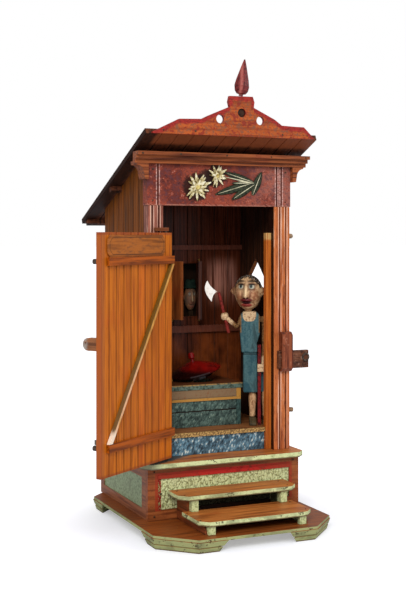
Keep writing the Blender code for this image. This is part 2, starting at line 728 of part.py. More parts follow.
def base_front():
    """Front of the base box: a frame round a sunk panel, with a bead along its top."""
    solid = bmesh.new()
    add_box(solid, (-BOX_HALF_WIDTH, BOX_HALF_WIDTH), (-BOX_FRONT, -BOX_FRONT + BOX_WALL),
            (BOX_FOOT, BOX_TOP))
    front = finish("base_front", solid, WOOD)
    low, high = frame_outline(-BOX_HALF_WIDTH, BOX_HALF_WIDTH)
    bead = bmesh.new()
    add_box(bead, (low[0], high[0]), (-BOX_FRONT - BEAD_PROUD, -BOX_FRONT + BOX_WALL / 2),
            (high[1], high[1] + BEAD_HEIGHT))
    fuse(front, bead)
    opening = bmesh.new()
    add_box(opening, (low[0], high[0]), (-2 * BOX_FRONT, BOX_FRONT), (low[1], high[1]))
    cut(front, opening)
    return front


def base_walls():
    """Left, right and back walls of the base box in one frame, with sunk panels outside."""
    solid = bmesh.new()
    start = -BOX_FRONT + BOX_WALL + GAP
    end = HOUSE_DEPTH
    outer, inner = BOX_HALF_WIDTH, BOX_HALF_WIDTH - BOX_WALL
    outline = [(-outer, start), (-inner, start), (-inner, end - BOX_WALL), (inner, end - BOX_WALL),
               (inner, start), (outer, start), (outer, end), (-outer, end)]
    add_prism(solid, outline, "z", BOX_FOOT, BOX_TOP)
    walls = finish("base_walls", solid, WOOD)
    sunk = bmesh.new()
    low, high = frame_outline(start, end)
    for side in (-1, 1):
        add_box(sunk, sorted((side * (outer - PANEL_SINK), side * (outer + BOX_WALL))),
                (low[0], high[0]), (low[1], high[1]))
    low, high = frame_outline(-outer, outer)
    add_box(sunk, (low[0], high[0]), (end - PANEL_SINK, end + BOX_WALL), (low[1], high[1]))
    cut(walls, sunk)


def front_panel():
    """Green panel sunk into the front frame of the base."""
    solid = bmesh.new()
    low, high = frame_outline(-BOX_HALF_WIDTH, BOX_HALF_WIDTH)
    face = -BOX_FRONT + PANEL_SINK
    add_box(solid, (low[0] + GAP, high[0] - GAP), (face, face + PANEL_THICKNESS),
            (low[1] + GAP, high[1] - GAP))
    finish("front_panel", solid, PALE_GREEN)


def deck():
    """Board that closes the base box, with holes for the rods that come up through it."""
    solid = bmesh.new()
    outline = cut_corners(-DECK_LEFT, DECK_RIGHT, -DECK_FRONT, HOUSE_DEPTH, DECK_CORNER, 0)
    add_prism(solid, outline, "z", DECK_FOOT, DECK_TOP)
    board = finish("deck", solid, WOOD)
    holes = bmesh.new()
    low, high = DECK_FOOT - DECK_THICKNESS, DECK_TOP + DECK_THICKNESS
    add_tube(holes, [(SHAFT_X, SHAFT_Y, low), (SHAFT_X, SHAFT_Y, high)], SHAFT_RADIUS + RUN)
    add_tube(holes, [(LIFTER_X, LID_Y, low), (LIFTER_X, LID_Y, high)], LIFTER_RADIUS + RUN)
    half = PEEPER_STICK_WIDTH / 2 + RUN
    deep = PEEPER_STICK_THICKNESS / 2 + RUN
    add_box(holes, (PEEPER_X - half, PEEPER_X + half), (PEEPER_Y - deep, PEEPER_Y + deep),
            (low, high))
    cut(board, holes)
    cut(board, lever_slot(low, high, DECK_FOOT))
    return board


def figure_matrix():
    return Matrix.Translation((FIGURE_X, FIGURE_Y, FLOOR_TOP)) @ Matrix.Rotation(FIGURE_TURN, 4, "Z")


def lever_slot(low, high, far_level):
    """Slot for the red lever through a board, long enough for its swing at a level."""
    solid = bmesh.new()
    sweep = (LEVER_PIVOT_Z - far_level) * math.tan(LEVER_SWING)
    left = LEVER_X - LEVER_WIDTH / 2 - RUN - max(sweep, 0.0)
    right = LEVER_X + LEVER_WIDTH / 2 + RUN + max(-sweep, 0.0)
    deep = LEVER_THICKNESS / 2 + RUN
    add_box(solid, (left, right), (LEVER_Y - deep, LEVER_Y + deep),
            (low - FLOOR_TOP, high - FLOOR_TOP))
    bmesh.ops.transform(solid, matrix=figure_matrix(), verts=solid.verts)
    return solid


def steps():
    """Two steps on cheeks and short green posts."""
    upper = bmesh.new()
    back = -BOX_FRONT - BEAD_PROUD - GAP
    front = -BOX_FRONT - UPPER_STEP_DEPTH
    outline = cut_corners(STEP_MIDDLE - UPPER_STEP_HALF_WIDTH, STEP_MIDDLE + UPPER_STEP_HALF_WIDTH,
                          front, back, STEP_CORNER, 0)
    add_prism(upper, outline, "z", UPPER_STEP_HEIGHT - STEP_THICKNESS, UPPER_STEP_HEIGHT)
    finish("step_upper", upper, WOOD)

    lower = bmesh.new()
    outline = cut_corners(STEP_MIDDLE - LOWER_STEP_HALF_WIDTH, STEP_MIDDLE + LOWER_STEP_HALF_WIDTH,
                          -LOWER_STEP_FRONT, -LOWER_STEP_BACK, STEP_CORNER, 0)
    add_prism(lower, outline, "z", LOWER_STEP_HEIGHT - STEP_THICKNESS, LOWER_STEP_HEIGHT)
    finish("step_lower", lower, WOOD)

    foot = PLATE_TOP + GAP
    lower_under = LOWER_STEP_HEIGHT - STEP_THICKNESS - GAP
    upper_under = UPPER_STEP_HEIGHT - STEP_THICKNESS - GAP
    rise_y = -LOWER_STEP_BACK + GAP
    toe_y = -LOWER_STEP_FRONT + STEP_CORNER
    cheek = [(back, foot), (back, upper_under), (rise_y, upper_under), (rise_y, lower_under),
             (toe_y, lower_under), (toe_y - STEP_CORNER / 2, foot)]
    outer = LOWER_STEP_HALF_WIDTH - CHEEK_INSET
    for name, side in (("step_support_left", -1), ("step_support_right", 1)):
        support = bmesh.new()
        across = sorted((STEP_MIDDLE + side * outer, STEP_MIDDLE + side * (outer - CHEEK_THICKNESS)))
        add_prism(support, cheek, "x", *across)
        made = finish(name, support, PALE_GREEN)
        posts = bmesh.new()
        across = sorted((STEP_MIDDLE + side * (outer - CHEEK_THICKNESS / 2),
                         STEP_MIDDLE + side * (outer - CHEEK_THICKNESS - STEP_POST)))
        lower_front = -LOWER_STEP_FRONT + STEP_POST_BACK
        add_box(posts, across, (lower_front, lower_front + STEP_POST), (foot, lower_under))
        upper_front = front + STEP_POST_BACK
        add_box(posts, across, (upper_front, rise_y + CHEEK_THICKNESS / 2),
                (LOWER_STEP_HEIGHT + GAP, upper_under))
        fuse(made, posts)


# House

def trim_under_roof(solid):
    """Cut everything above the roof's underside off a solid, with a gap."""
    point = Vector((0.0, 0.0, roof_under(0.0) - GAP))
    normal = Vector((0.0, math.sin(ROOF_ANGLE), math.cos(ROOF_ANGLE)))
    whole = list(solid.verts) + list(solid.edges) + list(solid.faces)
    bmesh.ops.bisect_plane(solid, geom=whole, plane_co=point, plane_no=normal, clear_outer=True)
    rim = [edge for edge in solid.edges if edge.is_boundary]
    bmesh.ops.holes_fill(solid, edges=rim, sides=0)
    bmesh.ops.recalc_face_normals(solid, faces=solid.faces)


def side_wall(name, side):
    """Board wall with a diamond hole, cut to the slope of the roof."""
    solid = bmesh.new()
    row = board_row(WALL_FRONT, HOUSE_DEPTH, WALL_BOARDS, side * HOUSE_HALF_WIDTH,
                    side * INNER_HALF_WIDTH, BOARD_GROOVE)
    add_prism(solid, [(x, y) for y, x in row], "z", WALL_FOOT, ROOF_FRONT_Z)
    trim_under_roof(solid)
    wall = finish(name, solid, WOOD)
    hole = bmesh.new()
    outline = circle(DIAMOND, 4, (DIAMOND_Y, DIAMOND_Z))
    add_prism(hole, outline, "x", *sorted((side * (INNER_HALF_WIDTH - WALL),
                                           side * (HOUSE_HALF_WIDTH + WALL))))
    cut(wall, hole)
    return wall


def back_walls():
    """Inner back wall with its window and two rails, and the cover behind the works."""
    solid = bmesh.new()
    half = INNER_HALF_WIDTH - GAP
    back = BACK_WALL_Y + BACK_WALL_THICKNESS
    row = board_row(-half, half, BACK_BOARDS, BACK_WALL_Y, back, BOARD_GROOVE, both=False)
    add_prism(solid, row, "z", WALL_FOOT, ROOF_FRONT_Z)
    trim_under_roof(solid)
    wall = finish("back_wall", solid, DARK_WOOD)
    window = bmesh.new()
    add_box(window, (WINDOW_LEFT, WINDOW_RIGHT),
            (BACK_WALL_Y - BACK_WALL_THICKNESS, back + BACK_WALL_THICKNESS),
            (WINDOW_FOOT, WINDOW_TOP))
    cut(wall, window)

    for foot, height in RAILS:
        rail = bmesh.new()
        add_box(rail, (-half + GAP, half - GAP), (BACK_WALL_Y - RAIL_THICKNESS, back - BOARD_GROOVE),
                (foot, foot + height))
        fuse(wall, rail)

    cover = bmesh.new()
    row = board_row(-half, half, BACK_BOARDS, HOUSE_DEPTH, BACK_COVER_Y, BOARD_GROOVE, both=False)
    add_prism(cover, row, "z", WALL_FOOT, ROOF_FRONT_Z)
    trim_under_roof(cover)
    finish("back_cover", cover, WOOD)


def posts():
    """Two grooved posts; the right one has the strip that the door shuts against."""
    for name, left, right in (("post_left", -HOUSE_HALF_WIDTH, LEFT_JAMB),
                              ("post_right", RIGHT_JAMB, HOUSE_HALF_WIDTH)):
        solid = bmesh.new()
        outer = left if name == "post_left" else right
        inward = 1 if name == "post_left" else -1
        places = [outer + inward * place for place in POST_GROOVE_PLACES]
        outline = grooved(left, right, 0.0, POST_DEPTH, places, POST_GROOVE)
        add_prism(solid, outline, "z", WALL_FOOT, POST_TOP)
        made = finish(name, solid, WOOD)
    stop = bmesh.new()
    add_box(stop, (RIGHT_JAMB - STOP_WIDTH, RIGHT_JAMB + STOP_WIDTH / 2),
            (STOP_FRONT, POST_DEPTH - GAP / 2), (WALL_FOOT, DOOR_TOP))
    fuse(made, stop)


def lintel():
    solid = bmesh.new()
    outline = grooved(-LINTEL_HALF_WIDTH, LINTEL_HALF_WIDTH, 0.0, POST_DEPTH, LINTEL_BEADS, POST_GROOVE)
    add_prism(solid, outline, "z", LINTEL_FOOT, LINTEL_FOOT + LINTEL_HEIGHT)
    return finish("lintel", solid, MAROON)


def cornice():
    """Three mouldings, each further out than the one below, over a scrolled bracket at each end."""
    solid = bmesh.new()
    foot = CORNICE_FOOT
    outline = [(-GAP, foot)]
    for reach, height in CORNICE_STEPS:
        outline += [(-reach, foot), (-reach, foot + height)]
        foot += height
    outline.append((-GAP, foot))
    add_prism(solid, outline, "x", -CORNICE_HALF_WIDTH, CORNICE_HALF_WIDTH)
    made = finish("cornice", solid, MAROON)
    corbels = bmesh.new()
    inner = LINTEL_HALF_WIDTH + GAP
    scroll = arc((CORBEL_WIDTH, -CORBEL_HEIGHT * CORBEL_SCROLL), CORBEL_WIDTH * CORBEL_SCROLL,
                 math.radians(95.0), math.radians(180.0), 5)
    sunk = CORNICE_STEPS[0][1] / 2
    profile = [(0.0, sunk), (CORBEL_WIDTH, sunk), *scroll,
               (CORBEL_WIDTH * CORBEL_TOE, -CORBEL_HEIGHT), (0.0, -CORBEL_HEIGHT)]
    for side in (-1, 1):
        outline = [(side * (inner + across), CORNICE_FOOT + up) for across, up in profile]
        add_prism(corbels, outline, "y", -CORBEL_FRONT, POST_DEPTH)
    fuse(made, corbels)


def roof():
    """Sloping board roof with the ends of its purlins underneath."""
    solid = bmesh.new()
    length = (ROOF_BACK + ROOF_FRONT) / math.cos(ROOF_ANGLE)
    row = board_row(-ROOF_HALF_WIDTH, ROOF_HALF_WIDTH, ROOF_BOARDS, 0.0, ROOF_THICKNESS, BOARD_GROOVE)
    add_prism(solid, row, "y", 0.0, length)
    boards = finish("roof", solid, DARK_WOOD)
    boards.matrix_basis = (Matrix.Translation((0.0, -ROOF_FRONT, ROOF_FRONT_Z))
                           @ Matrix.Rotation(-ROOF_ANGLE, 4, "X"))
    purlins = bmesh.new()
    for place in PURLIN_PLACES:
        along = (place + ROOF_FRONT) / math.cos(ROOF_ANGLE)
        spans = [(-PURLIN_END, PURLIN_END)]
        if place < HOUSE_DEPTH:
            spans = [(-PURLIN_END, -HOUSE_HALF_WIDTH - GAP), (HOUSE_HALF_WIDTH + GAP, PURLIN_END)]
        for span in spans:
            add_box(purlins, span, (along, along + PURLIN_WIDTH), (-PURLIN_HEIGHT, ROOF_THICKNESS / 2))
    fuse(boards, purlins)


def crest():
    """Fretted crest board on the front edge of the roof, and its carved spear."""
    solid = bmesh.new()
    back = -ROOF_FRONT - GAP
    front = back - CREST_THICKNESS
    outline = [(-CREST_HALF_WIDTH, 0.0), *CREST_OUTLINE, (CREST_HALF_WIDTH, 0.0)]
    outline = [(x, ROOF_FRONT_Z + z) for x, z in outline]
    add_prism(solid, outline, "y", front, back)
    board = finish("crest_board", solid, RED)
    holes = bmesh.new()
    for x, z in CREST_HOLES:
        add_tube(holes, [(x, front - CREST_THICKNESS, ROOF_FRONT_Z + z),
                         (x, back + CREST_THICKNESS, ROOF_FRONT_Z + z)], CREST_HOLE_RADIUS, 16)
    cut(board, holes)

    spear = bmesh.new()
    add_swell(spear, [((0.0, 0.0, FINIAL_HEIGHT * up), FINIAL_RADIUS * wide,
                       FINIAL_RADIUS * wide * FINIAL_FLATNESS) for wide, up in FINIAL_SHARES], sides=8)
    finial = finish("finial", spear, RED, smooth=True)
    crown = ROOF_FRONT_Z + max(z for x, z in CREST_OUTLINE)
    lift = GAP + FINIAL_RADIUS * FINIAL_SHARES[0][0] * math.sin(FINIAL_LEAN)
    finial.location = (FINIAL_X, (front + back) / 2, crown + lift)
    finial.rotation_euler.y = FINIAL_LEAN


def sprig():
    """Edelweiss sprig on the face of the lintel: two flowers and five leaves on one stalk."""
    stalk = bmesh.new()
    near = -GAP
    lift = Vector((0.0, LINTEL_FOOT))
    knot = Vector(SPRIG_KNOT) + lift
    outline = [(knot.x + a, knot.y + b) for a, b in circle(SPRIG_KNOT_RADIUS, PEG_SIDES)]
    add_prism(stalk, outline, "y", near - SPRIG_THICKNESS, near)
    made = finish("sprig", stalk, CREAM)
    depth = SPRIG_THICKNESS
    for x, z, radius, petals in FLOWERS:
        depth += SPRIG_STEP
        stem = bmesh.new()
        add_prism(stem, strip(knot, Vector((x, z)) + lift, SPRIG_STEM, ((0.0, 1.0), (1.0, 1.0))),
                  "y", near - depth, near)
        fuse(made, stem)
    for x1, z1, x2, z2, width in LEAVES:
        depth += SPRIG_STEP
        leaf = bmesh.new()
        line = strip(Vector((x1, z1)) + lift, Vector((x2, z2)) + lift, width, LEAF_SHARES)
        add_prism(leaf, line, "y", near - depth, near)
        fuse(made, leaf)
    for x, z, radius, petals in FLOWERS:
        flower = bmesh.new()
        outline = []
        for i in range(petals):
            middle = math.tau * i / petals + PETAL_TURN
            for share, turn in PETAL_SHARES:
                angle = middle + turn * math.tau / petals
                outline.append((x + share * radius * math.cos(angle),
                                z + LINTEL_FOOT + share * radius * math.sin(angle)))
        add_prism(flower, outline, "y", near - FLOWER_THICKNESS, near)
        fuse(made, flower)


def strip(start, end, width, shares):
    """Flat outline of a strip from start to end; shares are (place along, share of the width)."""
    way = end - start
    side = Vector((-way.y, way.x)).normalized() * width / 2
    left = [start + way * along + side * across for along, across in shares]
    right = [start + way * along - side * across for along, across in shares]
    return left + right[::-1]


# Inside of the house

def raised_floor():
    solid = bmesh.new()
    half = INNER_HALF_WIDTH - GAP
    left, right = LEFT_JAMB + GAP, RIGHT_JAMB - STOP_WIDTH - GAP
    behind = WALL_FRONT + GAP
    outline = [(left, FLOOR_FRONT), (right, FLOOR_FRONT), (right, behind), (half, behind),
               (half, BACK_WALL_Y - GAP), (-half, BACK_WALL_Y - GAP), (-half, behind), (left, behind)]
    add_prism(solid, outline, "z", FLOOR_FOOT, FLOOR_TOP)
    board = finish("inner_floor", solid, WOOD)
    holes = bmesh.new()
    low, high = FLOOR_FOOT - FLOOR_THICKNESS, FLOOR_TOP + FLOOR_THICKNESS
    add_tube(holes, [(LIFTER_X, LID_Y, low), (LIFTER_X, LID_Y, high)], LIFTER_RADIUS + RUN)
    cut(board, holes)
    slot = lever_slot(low, high, FLOOR_TOP)
    cut(board, slot)
    under = lever_slot(low, high, FLOOR_FOOT)
    cut(board, under)
    pin_hole = bmesh.new()
    reach = LEVER_PIN_REACH + GAP
    level = LEVER_PIVOT_Z - FLOOR_TOP
    add_tube(pin_hole, [(LEVER_X, LEVER_Y - reach, level), (LEVER_X, LEVER_Y + reach, level)],
             LEVER_PIN + GAP)
    bmesh.ops.transform(pin_hole, matrix=figure_matrix(), verts=pin_hole.verts)
    cut(board, pin_hole)

    riser = bmesh.new()
    face = FLOOR_FRONT + RISER_SET_BACK
    add_box(riser, (left, right), (face, face + RISER_THICKNESS), (WALL_FOOT, FLOOR_FOOT - GAP))
    finish("floor_riser", riser, STONE)


def bench():
    """Hollow seat box: a top with a round hole, a front with a bead and a frieze, and an end."""
    half = INNER_HALF_WIDTH - GAP
    foot = FLOOR_TOP + GAP
    panel_front = BENCH_FRONT + BENCH_NOSING
    under = BENCH_TOP_FOOT - GAP
    top = bmesh.new()
    add_box(top, (-half, BENCH_RIGHT), (BENCH_FRONT, BACK_WALL_Y - GAP), (BENCH_TOP_FOOT, BENCH_TOP))
    board = finish("bench_top", top, STONE)
    hole = bmesh.new()
    radius = LID_PLUG_RADIUS + LID_HOLE_CLEARANCE
    low = BENCH_TOP_FOOT - BENCH_TOP_THICKNESS
    high = BENCH_TOP + BENCH_TOP_THICKNESS
    add_turned(hole, [(radius, low), (radius, high)], (LID_X, LID_Y, 0.0))
    cut(board, hole)

    front = bmesh.new()
    end_face = BENCH_RIGHT - BENCH_NOSING
    bead_top = under - FRIEZE_HEIGHT
    bead_foot = bead_top - BEAD_STRIP_HEIGHT
    inside = panel_front + BENCH_PANEL
    profile = [(inside, foot), (panel_front, foot), (panel_front, bead_foot),
               (panel_front - BEAD_STRIP_PROUD, bead_foot), (panel_front - BEAD_STRIP_PROUD, bead_top),
               (panel_front - TRIM_THICKNESS, bead_top), (panel_front - TRIM_THICKNESS, under),
               (inside, under)]
    add_prism(front, profile, "x", -half, end_face - END_POST_WIDTH - GAP)
    finish("bench_front", front, STONE)

    side = bmesh.new()
    near = panel_front - TRIM_THICKNESS
    left = end_face - BENCH_PANEL
    outline = [(end_face - END_POST_WIDTH, near), (end_face, near), (end_face, BACK_WALL_Y - GAP),
               (left, BACK_WALL_Y - GAP), (left, inside + GAP), (end_face - END_POST_WIDTH, inside + GAP)]
    add_prism(side, outline, "z", foot, under)
    finish("bench_end", side, STONE)


def lid():
    """Turned lid with its knob, plug and hinge tongue; modelled shut, shown tilted open."""
    start = (LID_PIN_X, LID_Y, LID_PIN_Z)
    on = pivot("lid_pivot", start, -LID_TILT, "Y")
    rim = BENCH_TOP + GAP
    crown = rim + LID_EDGE + LID_RISE
    profile = [
        (LID_PLUG_RADIUS, BENCH_TOP - LID_PLUG_DEPTH), (LID_PLUG_RADIUS, rim),
        (LID_RADIUS - LID_CHAMFER, rim), (LID_RADIUS, rim + LID_EDGE * LID_CHAMFER_SHARE),
        (LID_RADIUS, rim + LID_EDGE),
    ]
    profile += [(LID_RADIUS * wide, rim + LID_EDGE + LID_RISE * up) for wide, up in LID_CONE_SHARES]
    profile += [(LID_KNOB_RADIUS * wide, crown + LID_KNOB_HEIGHT * up) for wide, up in LID_KNOB_SHARES]
    solid = bmesh.new()
    add_turned(solid, profile, (LID_X, LID_Y, 0.0), LID_SIDES)
    made = finish("lid", solid, RED, on=on, smooth=True, start=start)
    tongue = bmesh.new()
    reach = LID_PIN_OFFSET + LID_EDGE
    flat = LID_EDGE * LID_TONGUE_SHARE / 2
    outline = [*arc((0.0, 0.0), LID_EYE_RADIUS, math.radians(60), math.radians(300), 8),
               (reach, -flat), (reach, flat)]
    outline = [(LID_PIN_X + x, LID_PIN_Z + z) for x, z in outline]
    add_prism(tongue, outline, "y", LID_Y - LID_TONGUE_WIDTH / 2, LID_Y + LID_TONGUE_WIDTH / 2)
    fuse(made, tongue, start)
    pin = bmesh.new()
    reach = LID_TONGUE_WIDTH / 2 + RUN + LUG_WIDTH
    add_tube(pin, [(LID_PIN_X, LID_Y - reach, LID_PIN_Z), (LID_PIN_X, LID_Y + reach, LID_PIN_Z)],
             LID_PIN_RADIUS)
    fuse(made, pin, start)


def lid_hinge_block():
    """Block on the bench with two lugs for the lid's pin."""
    solid = bmesh.new()
    base = BENCH_TOP + GAP
    back = LID_PIN_X - LID_EYE_RADIUS - RUN
    outline = [(back - LUG_BACK, base), (LID_PIN_X + LID_EYE_RADIUS, base),
               *arc((LID_PIN_X, LID_PIN_Z), LID_EYE_RADIUS, 0.0, math.pi / 2, 5),
               (back - LUG_BACK, LID_PIN_Z + LID_EYE_RADIUS)]
    inner = LID_TONGUE_WIDTH / 2 + RUN
    outer = inner + LUG_WIDTH
    add_prism(solid, outline, "y", LID_Y - outer, LID_Y + outer)
    made = finish("lid_hinge_block", solid, BRASS)
    room = bmesh.new()
    add_box(room, (back, LID_PIN_X + 2 * LID_EYE_RADIUS), (LID_Y - inner, LID_Y + inner),
            (BENCH_TOP - WALL, LID_PIN_Z + WALL))
    cut(made, room)
    bore = bmesh.new()
    add_tube(bore, [(LID_PIN_X, LID_Y - 2 * outer, LID_PIN_Z), (LID_PIN_X, LID_Y + 2 * outer, LID_PIN_Z)],
             LID_PIN_RADIUS + GAP)
    cut(made, bore)


# Door

def door():
    """Board door on its cranked steel rod; drawn shut, shown open."""
    start = (SHAFT_X, SHAFT_Y, 0.0)
    on = pivot("door_pivot", start, -DOOR_OPEN)
    leaf = bmesh.new()
    row = board_row(DOOR_LEFT, DOOR_RIGHT, DOOR_BOARDS, DOOR_SET_BACK, DOOR_INNER, BOARD_GROOVE)
    add_prism(leaf, row, "z", DOOR_FOOT, DOOR_TOP)
    finish("door_leaf", leaf, WOOD, on=on, start=start)

    near = DOOR_INNER + GAP
    end = DOOR_RIGHT - BATTEN_INSET
    for name, foot in (("door_batten_lower", LOWER_BATTEN_Z), ("door_batten_upper", UPPER_BATTEN_Z)):
        batten = bmesh.new()
        add_box(batten, (DOOR_LEFT, end), (near, near + BATTEN_THICKNESS), (foot, foot + BATTEN_HEIGHT))
        finish(name, batten, MAROON, on=on, start=start)

    brace = bmesh.new()
    low = LOWER_BATTEN_Z + BATTEN_HEIGHT + GAP
    high = UPPER_BATTEN_Z - GAP
    add_prism(brace, [(end - BRACE_WIDTH, low), (end, low), (DOOR_LEFT + BRACE_WIDTH, high),
                      (DOOR_LEFT, high)], "y", near, near + BATTEN_THICKNESS)
    finish("door_brace", brace, PALE_WOOD, on=on, start=start)

    plate = bmesh.new()
    foot = UPPER_BATTEN_Z + BATTEN_HEIGHT + GAP
    outline = cut_corners(DOOR_LEFT + DOOR_PLATE_INSET, end, foot, foot + DOOR_PLATE_HEIGHT,
                          DOOR_PLATE_CORNER)
    add_prism(plate, outline, "y", near, near + DOOR_PLATE_THICKNESS)
    finish("door_plate", plate, WOOD, on=on, start=start)

    handle = bmesh.new()
    face = DOOR_SET_BACK - GAP
    half = HANDLE_HEIGHT / 2
    tip = (face - HANDLE_REACH + half, HANDLE_Z)
    outline = [(face, HANDLE_Z + half), *arc(tip, half, math.radians(90), math.radians(270), 10),
               (face, HANDLE_Z - half)]
    right = DOOR_RIGHT - HANDLE_INSET
    add_prism(handle, outline, "x", right - HANDLE_THICKNESS, right)
    finish("door_handle", handle, WOOD, on=on, start=start)
    door_straps(on, start)
    door_shaft(on, start)


def door_straps(on, start):
    """Two flat straps on the outer face, each rolled round the rod, with a boss near its end."""
    back = DOOR_SET_BACK - GAP
    front = back - STRAP_THICKNESS
    tip = SHAFT_X + STRAP_LENGTH
    roll = arc((SHAFT_X, SHAFT_Y), STRAP_RADIUS, math.radians(90), math.radians(360), 14)
    outline = [(tip, back), (SHAFT_X, back), *roll, (SHAFT_X + STRAP_RADIUS, front), (tip, front)]
    for name, foot in (("strap_lower", LOWER_BATTEN_Z), ("strap_upper", UPPER_BATTEN_Z)):
        strap = bmesh.new()
        add_prism(strap, outline, "z", foot, foot + STRAP_HEIGHT)
        made = finish(name, strap, STEEL, on=on, start=start)
        boss = bmesh.new()
        middle = foot + STRAP_HEIGHT / 2
        at = tip - STRAP_BOSS / 2 - GAP
        add_tube(boss, [(at, front + STRAP_THICKNESS / 2, middle), (at, front - STRAP_BOSS_REACH, middle)],
                 STRAP_BOSS / 2, 12)
        fuse(made, boss, start)
        bore = bmesh.new()
        add_tube(bore, [(SHAFT_X, SHAFT_Y, foot - STRAP_HEIGHT),
                        (SHAFT_X, SHAFT_Y, foot + 2 * STRAP_HEIGHT)], SHAFT_RADIUS + GAP, 16)
        cut(made, bore, start)


def door_shaft(on, start):
    """Steel rod that the door turns on, cranked inside the base, with a collar on the deck."""
    solid = bmesh.new()
    top = DOOR_TOP + BRACKET_RISE + BRACKET_HEIGHT + RUN
    arm_z = SLIDE_TOP + CRANK_RISE
    angle = CRANK_MIDDLE + DOOR_OPEN / 2
    pin = (SHAFT_X + CRANK_RADIUS * math.cos(angle), SHAFT_Y + CRANK_RADIUS * math.sin(angle))
    add_tube(solid, [(SHAFT_X, SHAFT_Y, top), (SHAFT_X, SHAFT_Y, arm_z), (*pin, arm_z),
                     (*pin, SLIDE_Z - RUN)], SHAFT_RADIUS, 12)
    made = finish("door_shaft", solid, STEEL, on=on, start=start, smooth=True)
    collar = bmesh.new()
    foot = DECK_TOP + GAP
    add_turned(collar, [(COLLAR_RADIUS, foot), (COLLAR_RADIUS, foot + COLLAR_HEIGHT)],
               (SHAFT_X, SHAFT_Y, 0.0), 16)
    fuse(made, collar, start)


def bolt():
    """Sliding wooden bolt on the right post, its keeper and its pull ring."""
    right = HOUSE_HALF_WIDTH + BOLT_REACH
    back = -BOLT_STAND
    front = back - BOLT_THICKNESS
    height = (BOLT_Z - BOLT_HEIGHT / 2, BOLT_Z + BOLT_HEIGHT / 2)
    start = (right, (front + back) / 2, BOLT_Z)
    on = pivot("bolt_path", start)
    plate = bmesh.new()
    add_box(plate, (right - BOLT_LENGTH, right), (front, back), height)
    finish("slide_bolt", plate, WOOD, on=on, start=start)

    ring = bmesh.new()
    hub = (right - RING_RADIUS - RING_WIRE, height[1] - 2 * RING_RADIUS)
    stem = front - GAP
    out = stem - RING_STEM
    loop = arc(hub, RING_RADIUS, math.radians(110), math.radians(440), 22)
    add_tube(ring, [(x, out, z) for x, z in loop], RING_WIRE, 8)
    made = finish("bolt_ring", ring, STEEL, on=on, start=start, smooth=True)
    eye = bmesh.new()
    add_tube(eye, [(hub[0], stem, hub[1] + RING_RADIUS), (hub[0], out, hub[1] + RING_RADIUS)],
             RING_EYE)
    fuse(made, eye, start)

    keeper = bmesh.new()
    depth = front - RUN - KEEPER_WALL
    foot = height[0] - RUN - KEEPER_WALL
    outline = [(-GAP, foot), (depth + KEEPER_CORNER, foot), (depth, foot + KEEPER_CORNER),
               (depth, KEEPER_TOP - KEEPER_CORNER), (depth + KEEPER_CORNER, KEEPER_TOP),
               (-GAP, KEEPER_TOP)]
    left = HOUSE_HALF_WIDTH - KEEPER_WIDTH
    add_prism(keeper, outline, "x", left, HOUSE_HALF_WIDTH)
    made = finish("bolt_keeper", keeper, WOOD)
    channel = bmesh.new()
    add_box(channel, (left - WALL, HOUSE_HALF_WIDTH + WALL), (front - RUN, WALL),
            (height[0] - RUN, height[1] + RUN))
    cut(made, channel)


# Window

def shutters():
    width = (WINDOW_RIGHT - WINDOW_LEFT) / 2 - RUN
    low, high = WINDOW_FOOT - SHUTTER_LAP, WINDOW_TOP + SHUTTER_LAP
    half = SHUTTER_THICKNESS / 2
    for name, x, side in (("shutter_left", WINDOW_LEFT, 1), ("shutter_right", WINDOW_RIGHT, -1)):
        on = pivot(name + "_pivot", (x, SHUTTER_Y, 0.0), -side * SHUTTER_OPEN)
        solid = bmesh.new()
        edge = arc((0.0, 0.0), half, math.radians(90), math.radians(270), 8)
        outline = [(side * a, b) for a, b in [*edge, (width, -half), (width, half)]]
        add_prism(solid, outline, "z", low, high)
        leaf = finish(name, solid, WOOD, on=on)
        bore = bmesh.new()
        add_tube(bore, [(0.0, 0.0, low - half), (0.0, 0.0, high + half)], SHUTTER_PIN + GAP)
        cut(leaf, bore)


